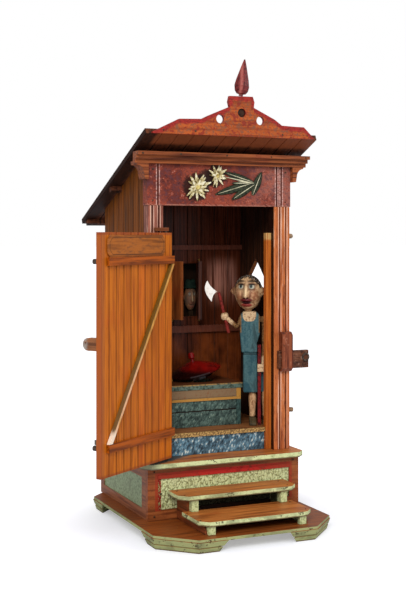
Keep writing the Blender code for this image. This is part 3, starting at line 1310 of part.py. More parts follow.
def peeper():
    """Head in a green hat at the window, on a stick that rides on the steep ramp."""
    start = (PEEPER_X, PEEPER_Y, PEEPER_HEAD_FOOT)
    on = pivot("peeper_path", start)
    half = PEEPER_STICK_WIDTH / 2
    foot = SLIDE_TOP + ramp_height(PEEPER_RAMP) + (half + GAP) / math.cos(PEEPER_RAMP)
    stick = bmesh.new()
    outline = [(PEEPER_X + half, PEEPER_HEAD_FOOT - GAP), (PEEPER_X - half, PEEPER_HEAD_FOOT - GAP),
               *arc((PEEPER_X, foot), half, math.radians(180), math.radians(360), 10)]
    deep = PEEPER_STICK_THICKNESS / 2
    add_prism(stick, outline, "y", PEEPER_Y - deep, PEEPER_Y + deep)
    finish("peeper_board", stick, PALE_WOOD, on=on, start=start)

    head = bmesh.new()
    wide, deep = PEEPER_HEAD_WIDTH / 2, PEEPER_HEAD_DEPTH / 2
    add_swell(head, [((PEEPER_X, PEEPER_Y, PEEPER_HEAD_FOOT + PEEPER_HEAD_HEIGHT * up), wide * r, deep * r)
                     for up, r in PEEPER_SHARES], 16)
    made = finish("peeper_head", head, SKIN, on=on, start=start, smooth=True)
    hat = bmesh.new()
    brim = PEEPER_HEAD_FOOT + PEEPER_HEAD_HEIGHT * PEEPER_HAT_SEAT
    add_swell(hat, [((PEEPER_X, PEEPER_Y, brim + PEEPER_HAT_HEIGHT * up), wide * r, deep * r)
                    for up, r in PEEPER_HAT_SHARES], 16)
    fuse(made, hat, start)
    nose = bmesh.new()
    tip = PEEPER_HEAD_FOOT + PEEPER_HEAD_HEIGHT * PEEPER_NOSE_TIP
    levels = (PEEPER_HEAD_FOOT + PEEPER_HEAD_HEIGHT * PEEPER_BRIDGE, tip, tip)
    add_limb(nose, [((PEEPER_X, PEEPER_Y - deep + deep * back, level + wide * down), wide * r)
                    for level, (back, down, r) in zip(levels, PEEPER_NOSE_SHARES)])
    fuse(made, nose, start)


# Works in the base

def ramp_height(slope):
    """Height of a ramp above the sliding board, under its follower, with the door open."""
    return RAMP_FOOT + (SLIDE_TRAVEL + RAMP_RUN_OUT) * math.tan(slope)


def crank_slack():
    """How far a crank pin strays from an even motion over the door's whole swing."""
    half = DOOR_OPEN / 2
    even = math.sin(half) / half
    angle = math.acos(even)
    return CRANK_RADIUS * (math.sin(angle) - even * angle)


def drive_board():
    """Sliding board: slots for the crank pin and the lever, and two ramps."""
    start = (0.0, SLIDE_FRONT, SLIDE_Z)
    on = pivot("drive_path", start)
    solid = bmesh.new()
    outline = [
        (SLIDE_LEFT, SLIDE_FRONT), (SLIDE_RIGHT, SLIDE_FRONT), (SLIDE_RIGHT, SLIDE_TAB_BACK),
        (SLIDE_TAB_LEFT, SLIDE_TAB_BACK), (SLIDE_TAB_LEFT, SLIDE_BAR_BACK),
        (SLIDE_ARM_RIGHT, SLIDE_BAR_BACK), (SLIDE_ARM_RIGHT, SLIDE_ARM_BACK),
        (SLIDE_ARM_LEFT, SLIDE_ARM_BACK), (SLIDE_ARM_LEFT, SLIDE_BAR_BACK), (SLIDE_LEFT, SLIDE_BAR_BACK),
    ]
    add_prism(solid, outline, "z", SLIDE_Z, SLIDE_TOP)
    board = finish("drive_board", solid, PALE_WOOD, on=on, start=start)
    for x, y, slope in ((LIFTER_X, LID_Y, LID_RAMP), (PEEPER_X, PEEPER_Y, PEEPER_RAMP)):
        ramp = bmesh.new()
        height = ramp_height(slope)
        high_end = x - RAMP_RUN_OUT
        low_end = x + SLIDE_TRAVEL + RAMP_RUN_OUT
        sunk = SLIDE_Z + SLIDE_THICKNESS / 2
        profile = [(high_end, sunk), (low_end, sunk), (low_end, SLIDE_TOP + RAMP_FOOT),
                   (high_end, SLIDE_TOP + height + RAMP_RUN_OUT * math.tan(slope))]
        add_prism(ramp, profile, "y", y - RAMP_WIDTH / 2, y + RAMP_WIDTH / 2)
        fuse(board, ramp, start)
    slots = bmesh.new()
    height = (SLIDE_Z - SLIDE_THICKNESS, SLIDE_TOP + SLIDE_THICKNESS)
    middle = SHAFT_X + SLIDE_TRAVEL / 2
    half = SHAFT_RADIUS + crank_slack() + RUN
    near = SHAFT_Y + CRANK_RADIUS * math.cos(DOOR_OPEN / 2)
    add_box(slots, (middle - half, middle + half),
            (near - SHAFT_RADIUS - RUN, SHAFT_Y + CRANK_RADIUS + SHAFT_RADIUS + RUN), height)
    tail = figure_matrix() @ Vector((LEVER_X, LEVER_Y, 0.0))
    turn = abs(FIGURE_TURN)
    lean = SLIDE_THICKNESS * math.tan(LEVER_SWING)
    wide, thick = LEVER_WIDTH / 2, LEVER_THICKNESS / 2
    across = wide * math.cos(turn) + thick * math.sin(turn) + lean + RUN
    deep = wide * math.sin(turn) + thick * math.cos(turn) + lean / 2 + RUN
    add_box(slots, (tail.x - across, tail.x + across),
            (tail.y - deep, tail.y + deep + SLIDE_TRAVEL * math.tan(turn)), height)
    cut(board, slots, start)


def slide_cradle():
    """Two blocks that the sliding board runs on, with a lip behind it, and a rest, on one strip."""
    solid = bmesh.new()
    foot = PLATE_TOP + GAP
    run = SLIDE_Z - GAP
    front = -BOX_FRONT + BOX_WALL + GAP
    lip = SLIDE_BAR_BACK + RUN
    middle = (SLIDE_ARM_LEFT + SLIDE_ARM_RIGHT - SLIDE_TRAVEL) / 2
    low, high = GUIDE_PLACES
    outline = [(low, front), (high + GUIDE_WIDTH, front), (high + GUIDE_WIDTH, lip),
               (middle + REST_HALF_WIDTH, lip), (middle + REST_HALF_WIDTH, REST_PLACE + REST_DEPTH),
               (middle - REST_HALF_WIDTH, REST_PLACE + REST_DEPTH), (middle - REST_HALF_WIDTH, lip),
               (low, lip)]
    add_prism(solid, outline, "z", foot, foot + CRADLE_THICKNESS)
    made = finish("slide_cradle", solid, WOOD)
    blocks = bmesh.new()
    sunk = foot + CRADLE_THICKNESS / 2
    profile = [(front + GAP, sunk), (lip + GUIDE_LIP, sunk), (lip + GUIDE_LIP, SLIDE_TOP),
               (lip, SLIDE_TOP), (lip, run), (front + GAP, run)]
    for place in GUIDE_PLACES:
        add_prism(blocks, profile, "x", place + GAP, place + GUIDE_WIDTH - GAP)
    inside = REST_HALF_WIDTH - GAP
    add_box(blocks, (middle - inside, middle + inside), (REST_PLACE, REST_PLACE + REST_DEPTH - GAP),
            (sunk, run))
    fuse(made, blocks)


def lid_lifter():
    """Dowel that rides on the low ramp and pushes the seat lid up."""
    tip = SLIDE_TOP + ramp_height(LID_RAMP) + (LIFTER_RADIUS + GAP) / math.cos(LID_RAMP)
    depth = LID_PIN_RISE + LID_PLUG_DEPTH
    under_x = LID_PIN_X + depth * math.sin(LID_TILT)
    under_z = LID_PIN_Z - depth * math.cos(LID_TILT)
    top = under_z + (LIFTER_X - LIFTER_RADIUS - under_x) * math.tan(LID_TILT) - RUN
    start = (LIFTER_X, LID_Y, tip)
    on = pivot("lifter_path", start)
    solid = bmesh.new()
    round_end = [(LIFTER_RADIUS * math.cos(angle), tip + LIFTER_RADIUS * math.sin(angle))
                 for angle in (math.radians(-90 * share) for share in LIFTER_SHARES)]
    add_turned(solid, [*round_end, (LIFTER_RADIUS, tip), (LIFTER_RADIUS, top)],
               (LIFTER_X, LID_Y, 0.0), 16)
    finish("lid_lifter", solid, PALE_WOOD, on=on, start=start, smooth=True)


# Bearings

def shaft_bracket():
    """Wooden block on the left post that holds the top of the door's rod."""
    solid = bmesh.new()
    foot = DOOR_TOP + BRACKET_RISE
    right = SHAFT_X + STRAP_RADIUS
    add_box(solid, (right - BRACKET_LENGTH, right), (SHAFT_Y - STRAP_RADIUS, -GAP),
            (foot, foot + BRACKET_HEIGHT))
    made = finish("shaft_bracket", solid, BRASS)
    bore = bmesh.new()
    add_tube(bore, [(SHAFT_X, SHAFT_Y, foot - WALL), (SHAFT_X, SHAFT_Y, foot + BRACKET_HEIGHT + WALL)],
             SHAFT_RADIUS + GAP, 16)
    cut(made, bore)


def shutter_wires():
    """A bent wire through each shutter's edge, its two ends against the wall."""
    reach = SHUTTER_LAP + RUN + 2 * SHUTTER_PIN
    low, high = WINDOW_FOOT - reach, WINDOW_TOP + reach
    wall = BACK_WALL_Y - GAP
    for name, x in (("shutter_wire_left", WINDOW_LEFT), ("shutter_wire_right", WINDOW_RIGHT)):
        solid = bmesh.new()
        add_tube(solid, [(x, wall, low), (x, SHUTTER_Y, low), (x, SHUTTER_Y, high), (x, wall, high)],
                 SHUTTER_PIN, 8)
        finish(name, solid, BRASS)


# Figure

def soften(made, width, segments=2):
    """Round the edges of a carved block."""
    bevel = made.modifiers.new("soft_edges", "BEVEL")
    bevel.width = width
    bevel.segments = segments
    bevel.limit_method = "ANGLE"
    bevel.angle_limit = math.radians(30.0)
    bevel.use_clamp_overlap = True
    return made


def figure_body(stand):
    """Head, torso, trousers, legs and shoes, fixed to the raised floor."""
    head = bmesh.new()
    wide, deep = HEAD_WIDTH / 2, HEAD_DEPTH / 2
    add_swell(head, [((HEAD_X, 0.0, HEAD_FOOT + HEAD_HEIGHT * up), wide * a, deep * b)
                     for up, a, b in HEAD_SHARES], 20)
    made = finish("figure_head", head, SKIN, on=stand, smooth=True)
    nose = bmesh.new()
    add_limb(nose, [((HEAD_X, -deep * back - NOSE_REACH * out, HEAD_FOOT + HEAD_HEIGHT * up),
                     NOSE_REACH * thick) for back, out, up, thick in NOSE_SHARES], 10)
    fuse(made, nose)
    ears = bmesh.new()
    ear_z = HEAD_FOOT + HEAD_HEIGHT * EAR_RISE
    for side in (-1, 1):
        x = HEAD_X + side * (wide - EAR_SIZE * EAR_SINK)
        add_swell(ears, [((x, 0.0, ear_z + EAR_SIZE * up), EAR_SIZE * a, EAR_SIZE * a * EAR_FLATNESS)
                         for up, a in EAR_SHARES], 10)
    fuse(made, ears)
    neck = bmesh.new()
    add_turned(neck, [(NECK_RADIUS, TORSO_TOP + GAP), (NECK_RADIUS, HEAD_FOOT + NECK_RADIUS)],
               (HEAD_X, 0.0, 0.0), 16)
    fuse(made, neck)

    torso = bmesh.new()
    foot = TROUSER_TOP + GAP
    outline = [(TORSO_LEFT + WAIST_INSET, foot), (TROUSER_SIDE, foot), (TROUSER_SIDE, LEVER_TOP + RUN * 5),
               (TORSO_RIGHT, LEVER_TOP + WAIST_RISE), (TORSO_RIGHT, TORSO_TOP - SHOULDER_DROP),
               (TORSO_RIGHT - SHOULDER_DROP, TORSO_TOP), (TORSO_LEFT + SHOULDER_DROP, TORSO_TOP),
               (TORSO_LEFT, TORSO_TOP - SHOULDER_DROP), (TORSO_LEFT, LEVER_TOP + WAIST_RISE)]
    add_prism(torso, outline, "y", -TORSO_BACK, TORSO_BACK)
    trunk = soften(finish("figure_torso", torso, MAROON, on=stand), CARVED_EDGE)
    holes = bmesh.new()
    for x, z in (RIGHT_SHOULDER, LEFT_SHOULDER):
        add_tube(holes, [(x, TORSO_BACK - PEG_SINK - GAP, z), (x, 2 * TORSO_BACK, z)], SHOULDER_PEG + GAP)
    cut(trunk, holes)

    block = bmesh.new()
    outline = [(TROUSER_LEFT, -TORSO_BACK), (TROUSER_SIDE, -TORSO_BACK), (TROUSER_SIDE, TROUSER_DEPTH),
               (TROUSER_LEFT, TROUSER_DEPTH)]
    add_prism(block, outline, "z", TROUSER_FOOT, TROUSER_TOP)
    trousers = soften(finish("figure_trousers", block, BLUE_CLOTH, on=stand), CARVED_EDGE)
    flare = bmesh.new()
    add_box(flare, (0.0, TROUSER_RIGHT), (TROUSER_LEFT_FRONT, TROUSER_LEFT_BACK),
            (TROUSER_FOOT, LEFT_TROUSER_TOP))
    fuse(trousers, flare)
    for name, x, y in (("shoe_right", *RIGHT_LEG), ("shoe_left", *LEFT_LEG)):
        leg = bmesh.new()
        add_turned(leg, [(LEG_RADIUS * ANKLE, SHOE_HEIGHT + GAP), (LEG_RADIUS, SHOE_HEIGHT + 3 * LEG_RADIUS),
                         (LEG_RADIUS, TROUSER_FOOT + LEG_RADIUS)], (x, y, 0.0), 14)
        fuse(trousers, leg)
        shoe = bmesh.new()
        toe = y + SHOE_HEEL - SHOE_LENGTH
        heel = y + SHOE_HEEL
        half = SHOE_WIDTH / 2
        outline = [(heel, GAP)]
        outline += [(heel - SHOE_LENGTH * along, SHOE_HEIGHT * up) for along, up in SHOE_SHARES]
        outline.append((toe, GAP))
        add_prism(shoe, outline, "x", x - half, x + half)
        soften(finish(name, shoe, SHOE_PAINT, on=stand), CARVED_EDGE / 2)


def right_arm(stand):
    """Arm that lifts the axe; its tail carries the pin that the left arm's tail drives."""
    x, z = RIGHT_SHOULDER
    start = (x, 0.0, z)
    on = pivot("right_shoulder", start, parent=stand)
    back_layer = ARM_BACK + ARM_PLATE + GAP
    back = back_layer + ARM_PLATE
    grip = axe_point(GRIP_SHARE)
    depth = (ARM_BACK + back) / 2
    limb = bmesh.new()
    shoulder = Vector((x, depth + RUN, z))
    elbow = Vector((RIGHT_ELBOW[0], depth + RUN, RIGHT_ELBOW[1]))
    wrist = elbow.lerp(grip, WRIST_SHARE)
    wrist.y = AXE_Y
    path = (shoulder, shoulder.lerp(elbow, 1 - WRIST_SHARE), elbow, wrist, grip)
    add_limb(limb, [(point, ARM_RADIUS * thick) for point, thick in zip(path, RIGHT_ARM_SHARES)], 12)
    arm = finish("right_arm", limb, MAROON, on=on, start=start)
    plate = bmesh.new()
    add_prism(plate, circle(SHOULDER_DISC, ROUND_SIDES, (x, z)), "y", ARM_BACK, back)
    fuse(arm, plate, start)
    tail = bmesh.new()
    rounded = arc((TAIL_JOINT_X, z), 2 * TAIL_PIN, math.radians(-90), math.radians(90), 8)
    add_prism(tail, [*rounded, (x, z + 2 * TAIL_PIN), (x, z - 2 * TAIL_PIN)], "y", back_layer, back - GAP / 3)
    fuse(arm, tail, start)
    pin = bmesh.new()
    add_tube(pin, [(TAIL_JOINT_X, ARM_BACK, z), (TAIL_JOINT_X, back_layer + ARM_PLATE / 2, z)], TAIL_PIN)
    fuse(arm, pin, start)
    hand = bmesh.new()
    add_swell(hand, [((grip.x, grip.y, grip.z + HAND_SIZE * up), HAND_SIZE * r,
                      HAND_SIZE * r * HAND_FLATNESS) for up, r in HAND_SHARES], 14)
    fuse(arm, hand, start)
    peg = bmesh.new()
    add_tube(peg, [(x, TORSO_BACK - PEG_SINK, z), (x, back_layer, z)], SHOULDER_PEG)
    fuse(arm, peg, start)
    hole = bmesh.new()
    add_tube(hole, [axe_point(GRIP_SHARE - GRIP_HOLE_SHARE), axe_point(GRIP_SHARE + GRIP_HOLE_SHARE)],
             AXE_RADIUS + GAP, 12)
    cut(arm, hole, start)

    handle = bmesh.new()
    add_tube(handle, [axe_point(0.0), axe_point(1.0)], AXE_RADIUS, 12)
    finish("axe_handle", handle, WOOD, on=on, start=start, smooth=True)
    blade = bmesh.new()
    add_prism(blade, BLADE_OUTLINE, "y", AXE_Y - BLADE_THICKNESS / 2, AXE_Y + BLADE_THICKNESS / 2)
    finish("axe_blade", blade, STEEL, on=on, start=start)


def axe_point(share):
    """Point on the middle of the axe handle, from its foot to its top."""
    foot = Vector((AXE_FOOT[0], AXE_Y, AXE_FOOT[1]))
    top = Vector((AXE_TOP[0], AXE_Y, AXE_TOP[1]))
    return foot.lerp(top, share)


def left_arm(stand):
    """Arm whose open hand is pushed by the lever; its forked tail drives the right arm."""
    x, z = LEFT_SHOULDER
    start = (x, 0.0, z)
    on = pivot("left_shoulder", start, parent=stand)
    across = LEFT_ARM_X
    middle = ARM_BACK + ARM_PLATE / 2
    room = LEVER_THICKNESS / 2 + RUN
    behind = LEVER_Y + room + ARM_RADIUS
    drop = z - HAND_HEIGHT
    limb = bmesh.new()
    stations = [((across, middle, z + SHOULDER_DISC), SHOULDER_SHARE)]
    for along, back, share in FOREARM_SHARES:
        stations.append(((across, behind + back * (middle - behind), z - along * drop), share))
    stations.append(((across - HAND_SIZE / 2, behind, HAND_HEIGHT + HAND_SIZE / 2), FOREARM_SHARES[-1][2]))
    add_limb(limb, [(point, ARM_RADIUS * share) for point, share in stations], 12)
    arm = finish("left_arm", limb, MAROON, on=on, start=start)
    plate = bmesh.new()
    fork = TAIL_JOINT_X - FORK_REACH
    top = z + SHOULDER_DISC * YOKE_TOP
    outline = [(fork, z - TAIL_HALF_HEIGHT), (across, z - TAIL_HALF_HEIGHT), (across, top),
               (x - SHOULDER_DISC * YOKE_SLOPE, top), (x - SHOULDER_DISC, z + TAIL_HALF_HEIGHT),
               (fork, z + TAIL_HALF_HEIGHT)]
    add_prism(plate, outline, "y", ARM_BACK, ARM_BACK + ARM_PLATE)
    fuse(arm, plate, start)
    hand = bmesh.new()
    wall = room + HAND_WALL
    add_box(hand, (LEVER_X - PALM_LEFT, across + PALM_RIGHT), (LEVER_Y - wall, LEVER_Y + wall),
            (HAND_HEIGHT - HAND_SIZE, HAND_HEIGHT + HAND_SIZE))
    fuse(arm, hand, start)
    peg = bmesh.new()
    add_tube(peg, [(x, TORSO_BACK - PEG_SINK, z), (x, ARM_BACK + ARM_PLATE / 2, z)], SHOULDER_PEG)
    fuse(arm, peg, start)
    holes = bmesh.new()
    clear = HAND_SIZE * math.tan(HAND_TWIST * LEVER_SWING) + RUN
    add_box(holes, (0.0, LEVER_X + LEVER_WIDTH / 2 + clear), (LEVER_Y - room, LEVER_Y + room),
            (HAND_HEIGHT - 2 * HAND_SIZE, HAND_HEIGHT + 2 * HAND_SIZE))
    slot = TAIL_PIN + RUN
    add_box(holes, (fork - TAIL_PIN, TAIL_JOINT_X + FORK_DEPTH), (0.0, 3 * ARM_BACK),
            (z - slot, z + slot))
    cut(arm, holes, start)


def hand_lever(stand):
    """Red lever from the sliding board, through the deck and the floor, up to the left hand."""
    level = LEVER_PIVOT_Z - FLOOR_TOP
    start = (LEVER_X, LEVER_Y, level)
    on = pivot("lever_pivot", start, parent=stand)
    solid = bmesh.new()
    wide, thick = LEVER_WIDTH / 2, LEVER_THICKNESS / 2
    add_box(solid, (LEVER_X - wide, LEVER_X + wide), (LEVER_Y - thick, LEVER_Y + thick),
            (SLIDE_Z - RUN - FLOOR_TOP, LEVER_TOP))
    lever = finish("hand_lever", solid, RED, on=on, start=start)
    pin = bmesh.new()
    add_tube(pin, [(LEVER_X, LEVER_Y - LEVER_PIN_REACH, level),
                   (LEVER_X, LEVER_Y + LEVER_PIN_REACH, level)], LEVER_PIN)
    fuse(lever, pin, start)


def settle_on_footprint():
    """Move the whole so that the middle of its footprint is the origin; it already stands at z = 0."""
    bpy.context.view_layer.update()
    corners = [made.matrix_world @ vert.co for made in bpy.data.objects
               if made.type == "MESH" and not made.hide_render for vert in made.data.vertices]
    low = [min(corner[i] for corner in corners) for i in range(2)]
    high = [max(corner[i] for corner in corners) for i in range(2)]
    shift = Vector(((low[0] + high[0]) / 2, (low[1] + high[1]) / 2, 0.0))
    for made in bpy.data.objects:
        if made.parent is None:
            made.location = made.location - shift


def build_base():
    base_plate()
    base_front()
    front_panel()
    base_walls()
    deck()
    steps()


def build_house():
    side_wall("wall_left", -1)
    side_wall("wall_right", 1)
    back_walls()
    posts()
    lintel()
    cornice()
    roof()
    crest()
    sprig()
    raised_floor()
    bench()


def build_works():
    door()
    bolt()
    lid()
    lid_hinge_block()
    shutters()
    shutter_wires()
    peeper()
    drive_board()
    slide_cradle()
    lid_lifter()
    shaft_bracket()


def build_figure():
    stand = pivot("figure_stand", (FIGURE_X, FIGURE_Y, FLOOR_TOP), FIGURE_TURN)
    figure_body(stand)
    right_arm(stand)
    left_arm(stand)
    hand_lever(stand)


build_base()
build_house()
build_works()
build_figure()
settle_on_footprint()
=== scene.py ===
"""Looks of the wooden automaton: paints, carved details, floor, light and camera."""

import math

import bmesh
import bpy
import numpy as np
from mathutils import Euler, Matrix, Vector


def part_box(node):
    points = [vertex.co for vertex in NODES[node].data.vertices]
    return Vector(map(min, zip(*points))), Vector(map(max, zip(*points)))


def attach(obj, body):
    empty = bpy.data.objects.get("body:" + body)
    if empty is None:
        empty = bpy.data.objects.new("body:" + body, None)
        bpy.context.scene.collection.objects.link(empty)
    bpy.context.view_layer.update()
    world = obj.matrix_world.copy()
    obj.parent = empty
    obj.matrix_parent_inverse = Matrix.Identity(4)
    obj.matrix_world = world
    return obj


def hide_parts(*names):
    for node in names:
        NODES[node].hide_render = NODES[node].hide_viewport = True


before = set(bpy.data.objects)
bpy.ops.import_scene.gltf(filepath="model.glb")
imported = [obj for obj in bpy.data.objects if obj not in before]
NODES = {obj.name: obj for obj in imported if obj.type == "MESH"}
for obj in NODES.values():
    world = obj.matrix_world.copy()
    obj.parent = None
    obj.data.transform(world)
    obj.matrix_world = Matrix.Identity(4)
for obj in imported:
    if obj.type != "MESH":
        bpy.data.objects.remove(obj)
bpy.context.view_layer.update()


def middle_of(name):
    """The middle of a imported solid."""
    low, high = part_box(name)
    return (Vector(low) + Vector(high)) / 2


# Places are given from the middle of the posts' front, as the house was drawn
PLATE_LOW, PLATE_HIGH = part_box("base_plate")
HOUSE = Vector(((PLATE_LOW[0] + PLATE_HIGH[0]) / 2 + 0.004, PLATE_LOW[1] + 0.113, 0))
MM = 0.001


def at(x, y, z):
    """A place in the house, in millimetres, as a point of the scene."""
    return HOUSE + Vector((x, y, z)) * MM


def paint(red, green, blue):
    """A colour as it is read from a screen, 0 to 255, in the light's own terms."""
    shares = [value / 255 for value in (red, green, blue)]
    return [share / 12.92 if share <= 0.04045 else ((share + 0.055) / 1.055) ** 2.4 for share in shares] + [1]


# Shader nodes as sums

def plug(tree, node, sockets):
    """Gives a node's sockets their values: numbers, colours, or what other nodes put out."""
    for key, value in sockets.items():
        value = value.socket if isinstance(value, Wire) else value
        if isinstance(value, bpy.types.NodeSocket):
            tree.links.new(value, node.inputs[key])
        else:
            node.inputs[key].default_value = value


def add_node(tree, kind, settings=None, sockets=None, out=0):
    """Adds a node with its settings and sockets, and gives back one of its outputs."""
    made = tree.nodes.new(kind)
    for name, value in (settings or {}).items():
        setattr(made, name, value)
    plug(tree, made, sockets or {})
    return made.outputs[out]


def sum_of(operation, other_first=False):
    """A sum of a wire with a number or another wire, which may come first."""
    def join(self, other=0):
        pair = (other, self) if other_first else (self, other)
        return self.coat.node("ShaderNodeMath", {"operation": operation}, {0: pair[0], 1: pair[1]})
    return join


class Wire:
    """A value that runs through a coat's nodes and takes part in sums."""

    def __init__(self, coat, socket):
        self.coat = coat
        self.socket = socket

    __add__ = sum_of("ADD")
    __radd__ = sum_of("ADD", True)
    __sub__ = sum_of("SUBTRACT")
    __rsub__ = sum_of("SUBTRACT", True)
    __mul__ = sum_of("MULTIPLY")
    __rmul__ = sum_of("MULTIPLY", True)
    __truediv__ = sum_of("DIVIDE")
    __rtruediv__ = sum_of("DIVIDE", True)
    __abs__ = sum_of("ABSOLUTE")
    most = sum_of("MAXIMUM")
    least = sum_of("MINIMUM")
    floor = sum_of("FLOOR")
    saw = sum_of("FRACT")
    root = sum_of("SQRT")

    def __neg__(self):
        return self * -1

    def rise(self, low, high):
        """0 below low, 1 above high, smooth between; low may be the larger."""
        if low > high:
            return 1 - self.rise(high, low)
        return self.coat.node("ShaderNodeMapRange",
                              {"interpolation_type": "SMOOTHSTEP", "clamp": True},
                              {"Value": self, "From Min": low, "From Max": high})


ORIGIN = (0, 0, 0)


class Coat:
    """A material under construction: its nodes, its colour so far, and its end."""

    def __init__(self, name):
        self.material = bpy.data.materials.new(name)
        self.material.use_nodes = True
        self.tree = self.material.node_tree
        self.shader = self.tree.nodes["Principled BSDF"]
        places = self.tree.nodes.new("ShaderNodeTexCoord").outputs
        self.where = Wire(self, places["Object"])
        self.spot = self.parts(self.where)
        self.facing = self.parts(Wire(self, places["Normal"]))
        self.colour = None

    def node(self, kind, settings=None, sockets=None, out=0):
        return Wire(self, add_node(self.tree, kind, settings, sockets, out))

    def parts(self, vector):
        """The three numbers of a vector."""
        split = self.node("ShaderNodeSeparateXYZ", None, {0: vector})
        return [Wire(self, output) for output in split.socket.node.outputs]

    def place(self, middle=ORIGIN, turn=ORIGIN, stretch=1):
        """Places on the object from a middle, turned, and stretched by one factor or by three."""
        factors = (stretch,) * 3 if isinstance(stretch, (int, float)) else stretch
        return self.node("ShaderNodeMapping", {"vector_type": "TEXTURE"},
                         {"Vector": self.where, "Location": middle, "Rotation": turn,
                          "Scale": [1 / factor for factor in factors]})

    def noise(self, places, scale, detail, roughness, bend):
        return self.node("ShaderNodeTexNoise", {"noise_dimensions": "3D"},
                         {"Vector": places, "Scale": scale, "Detail": detail,
                          "Roughness": roughness, "Distortion": bend}, "Fac")

    def spots(self, stretch, detail=4, roughness=0.55, bend=0, middle=ORIGIN, turn=ORIGIN):
        """Cloudy spots, stretched by one factor or by three."""
        return self.noise(self.place(middle, turn, stretch), 1, detail, roughness, bend)

    def cells(self, stretch, feature="F1", middle=ORIGIN, turn=ORIGIN):
        """Scattered round cells, or with another feature the lines between them."""
        places = self.place(middle, turn, stretch)
        return self.node("ShaderNodeTexVoronoi", {"feature": feature},
                         {"Vector": places, "Scale": 1, "Randomness": 1}, "Distance")

    def chance(self, value):
        """An even random number for each whole number."""
        return self.node("ShaderNodeTexWhiteNoise", {"noise_dimensions": "1D"}, {"W": value}, "Value")

    def mix(self, first, second, share):
        """One colour passing into another; each is a wire, or red, green and blue from a screen."""
        first, second = (tone if isinstance(tone, Wire) else paint(*tone) for tone in (first, second))
        return self.node("ShaderNodeMix", {"data_type": "RGBA", "clamp_factor": True},
                         {0: share, 6: first, 7: second}, 2)

    def start(self, first, second, share):
        """The first coat of colour."""
        self.colour = self.mix(first, second, share)

    def lay(self, tone, share):
        """Lays a tone over the colour so far."""
        self.colour = self.mix(self.colour, tone, share)

    def curve(self, value, points):
        """A number looked up on a bent line through points, all within 0 to 1."""
        made = self.node("ShaderNodeFloatCurve", None, {"Value": value})
        line = made.socket.node.mapping.curves[0]
        for i, (x, y) in enumerate(points):
            if i < 2:
                line.points[i].location = (x, y)
            else:
                line.points.new(x, y)
        for point in line.points:
            point.handle_type = "VECTOR"
        made.socket.node.mapping.update()
        return made

    def end(self, roughness, height=None, depth=0.0002, strength=0.6, varnish=None, shine=0.14, metal=None):
        """Joins colour, roughness and relief to the shader; varnish is its amount and roughness."""
        values = {"Base Color": self.colour, "Roughness": roughness, "Specular IOR Level": shine}
        if varnish:
            values["Coat Weight"], values["Coat Roughness"] = varnish
        if metal is not None:
            values["Metallic"] = metal
        if height is not None:
            values["Normal"] = self.node("ShaderNodeBump", None,
                                         {"Height": height, "Distance": depth, "Strength": strength})
        plug(self.tree, self.shader, values)
        return self.material


# Colours of the piece

ORANGE = (192, 104, 36)
ORANGE_DEEP = (158, 74, 22)
ORANGE_RED = (168, 66, 30)
BROWN = (122, 66, 32)
BROWN_DEEP = (70, 34, 16)
GROOVE = (40, 18, 8)
# Near-black paint; it also stands for painted shade inside the house and below the steps
NEAR_BLACK_AND_SHADE = (28, 16, 10)
MAROON = (118, 52, 38)
RED = (176, 34, 26)
RED_DEEP = (108, 14, 10)
GREEN = (206, 214, 158)
GREEN_DULL = (150, 158, 108)
TEAL_DARK = (34, 50, 48)
GOLD = (182, 130, 58)
SKIN = (206, 168, 124)

# Boards

def grain(coat, run, middle=ORIGIN, spin=ORIGIN):
    """Broad and fine figure of wood, turned with the board; run is x, y or z."""
    along, across = 16, 330
    stretch = [across] * 3
    stretch["xyz".index(run)] = along
    places = coat.place(middle, spin, stretch)
    return coat.noise(places, 1, 5, 0.6, 0.35), coat.noise(places, 4.3, 3, 0.7, 0.1)


def boards(name, run, tones, across="x", first=0, width=0, turn=0, middle=ORIGIN, dark_seam=0.8,
           gloss=0.42, detail=None):
    """Varnished boards side by side, each a little different, with dirt in the seams.

    first and width are where the boards start and how wide each is, in metres, along across;
    detail lays what one piece has of its own.
    """
    coat = Coat(name)
    dark, main, warm = tones
    spin = (0, 0, turn)
    broad, fine = grain(coat, run, middle, spin)
    flat = coat.parts(coat.place(middle, spin))
    coat.start(dark, main, broad.rise(0.32, 0.62))
    patches = coat.spots((22, 22, 14), 3, 0.6, 0, middle, spin)
    coat.lay(warm, patches.rise(0.52, 0.78) * 0.62)
    coat.lay(dark, fine.rise(0.55, 0.8) * 0.45)
    rough = gloss + (broad - 0.5) * 0.25
    if width:
        count = (flat["xyz".index(across)] - first) / width
        tint = coat.chance(count.floor())
        coat.lay(dark, tint.rise(0.3, 1) * 0.38)
        coat.lay(warm, tint.rise(0.35, 0) * 0.3)
        seam = abs(count.saw() - 0.5) * width
        lined = seam.rise(width / 2 - 0.0011, width / 2 - 0.0003)
        coat.lay(GROOVE, lined * dark_seam)
        rough = rough + lined * 0.3
    specks = coat.cells((180, 180, 90), "F1", middle, spin)
    coat.lay(dark, specks.rise(0.16, 0.05) * 0.6)
    if detail:
        detail(coat, flat)
    return coat.end(rough, broad * 0.4 + fine * 0.6, 0.00025, 0.5, varnish=(0.06, 0.25))


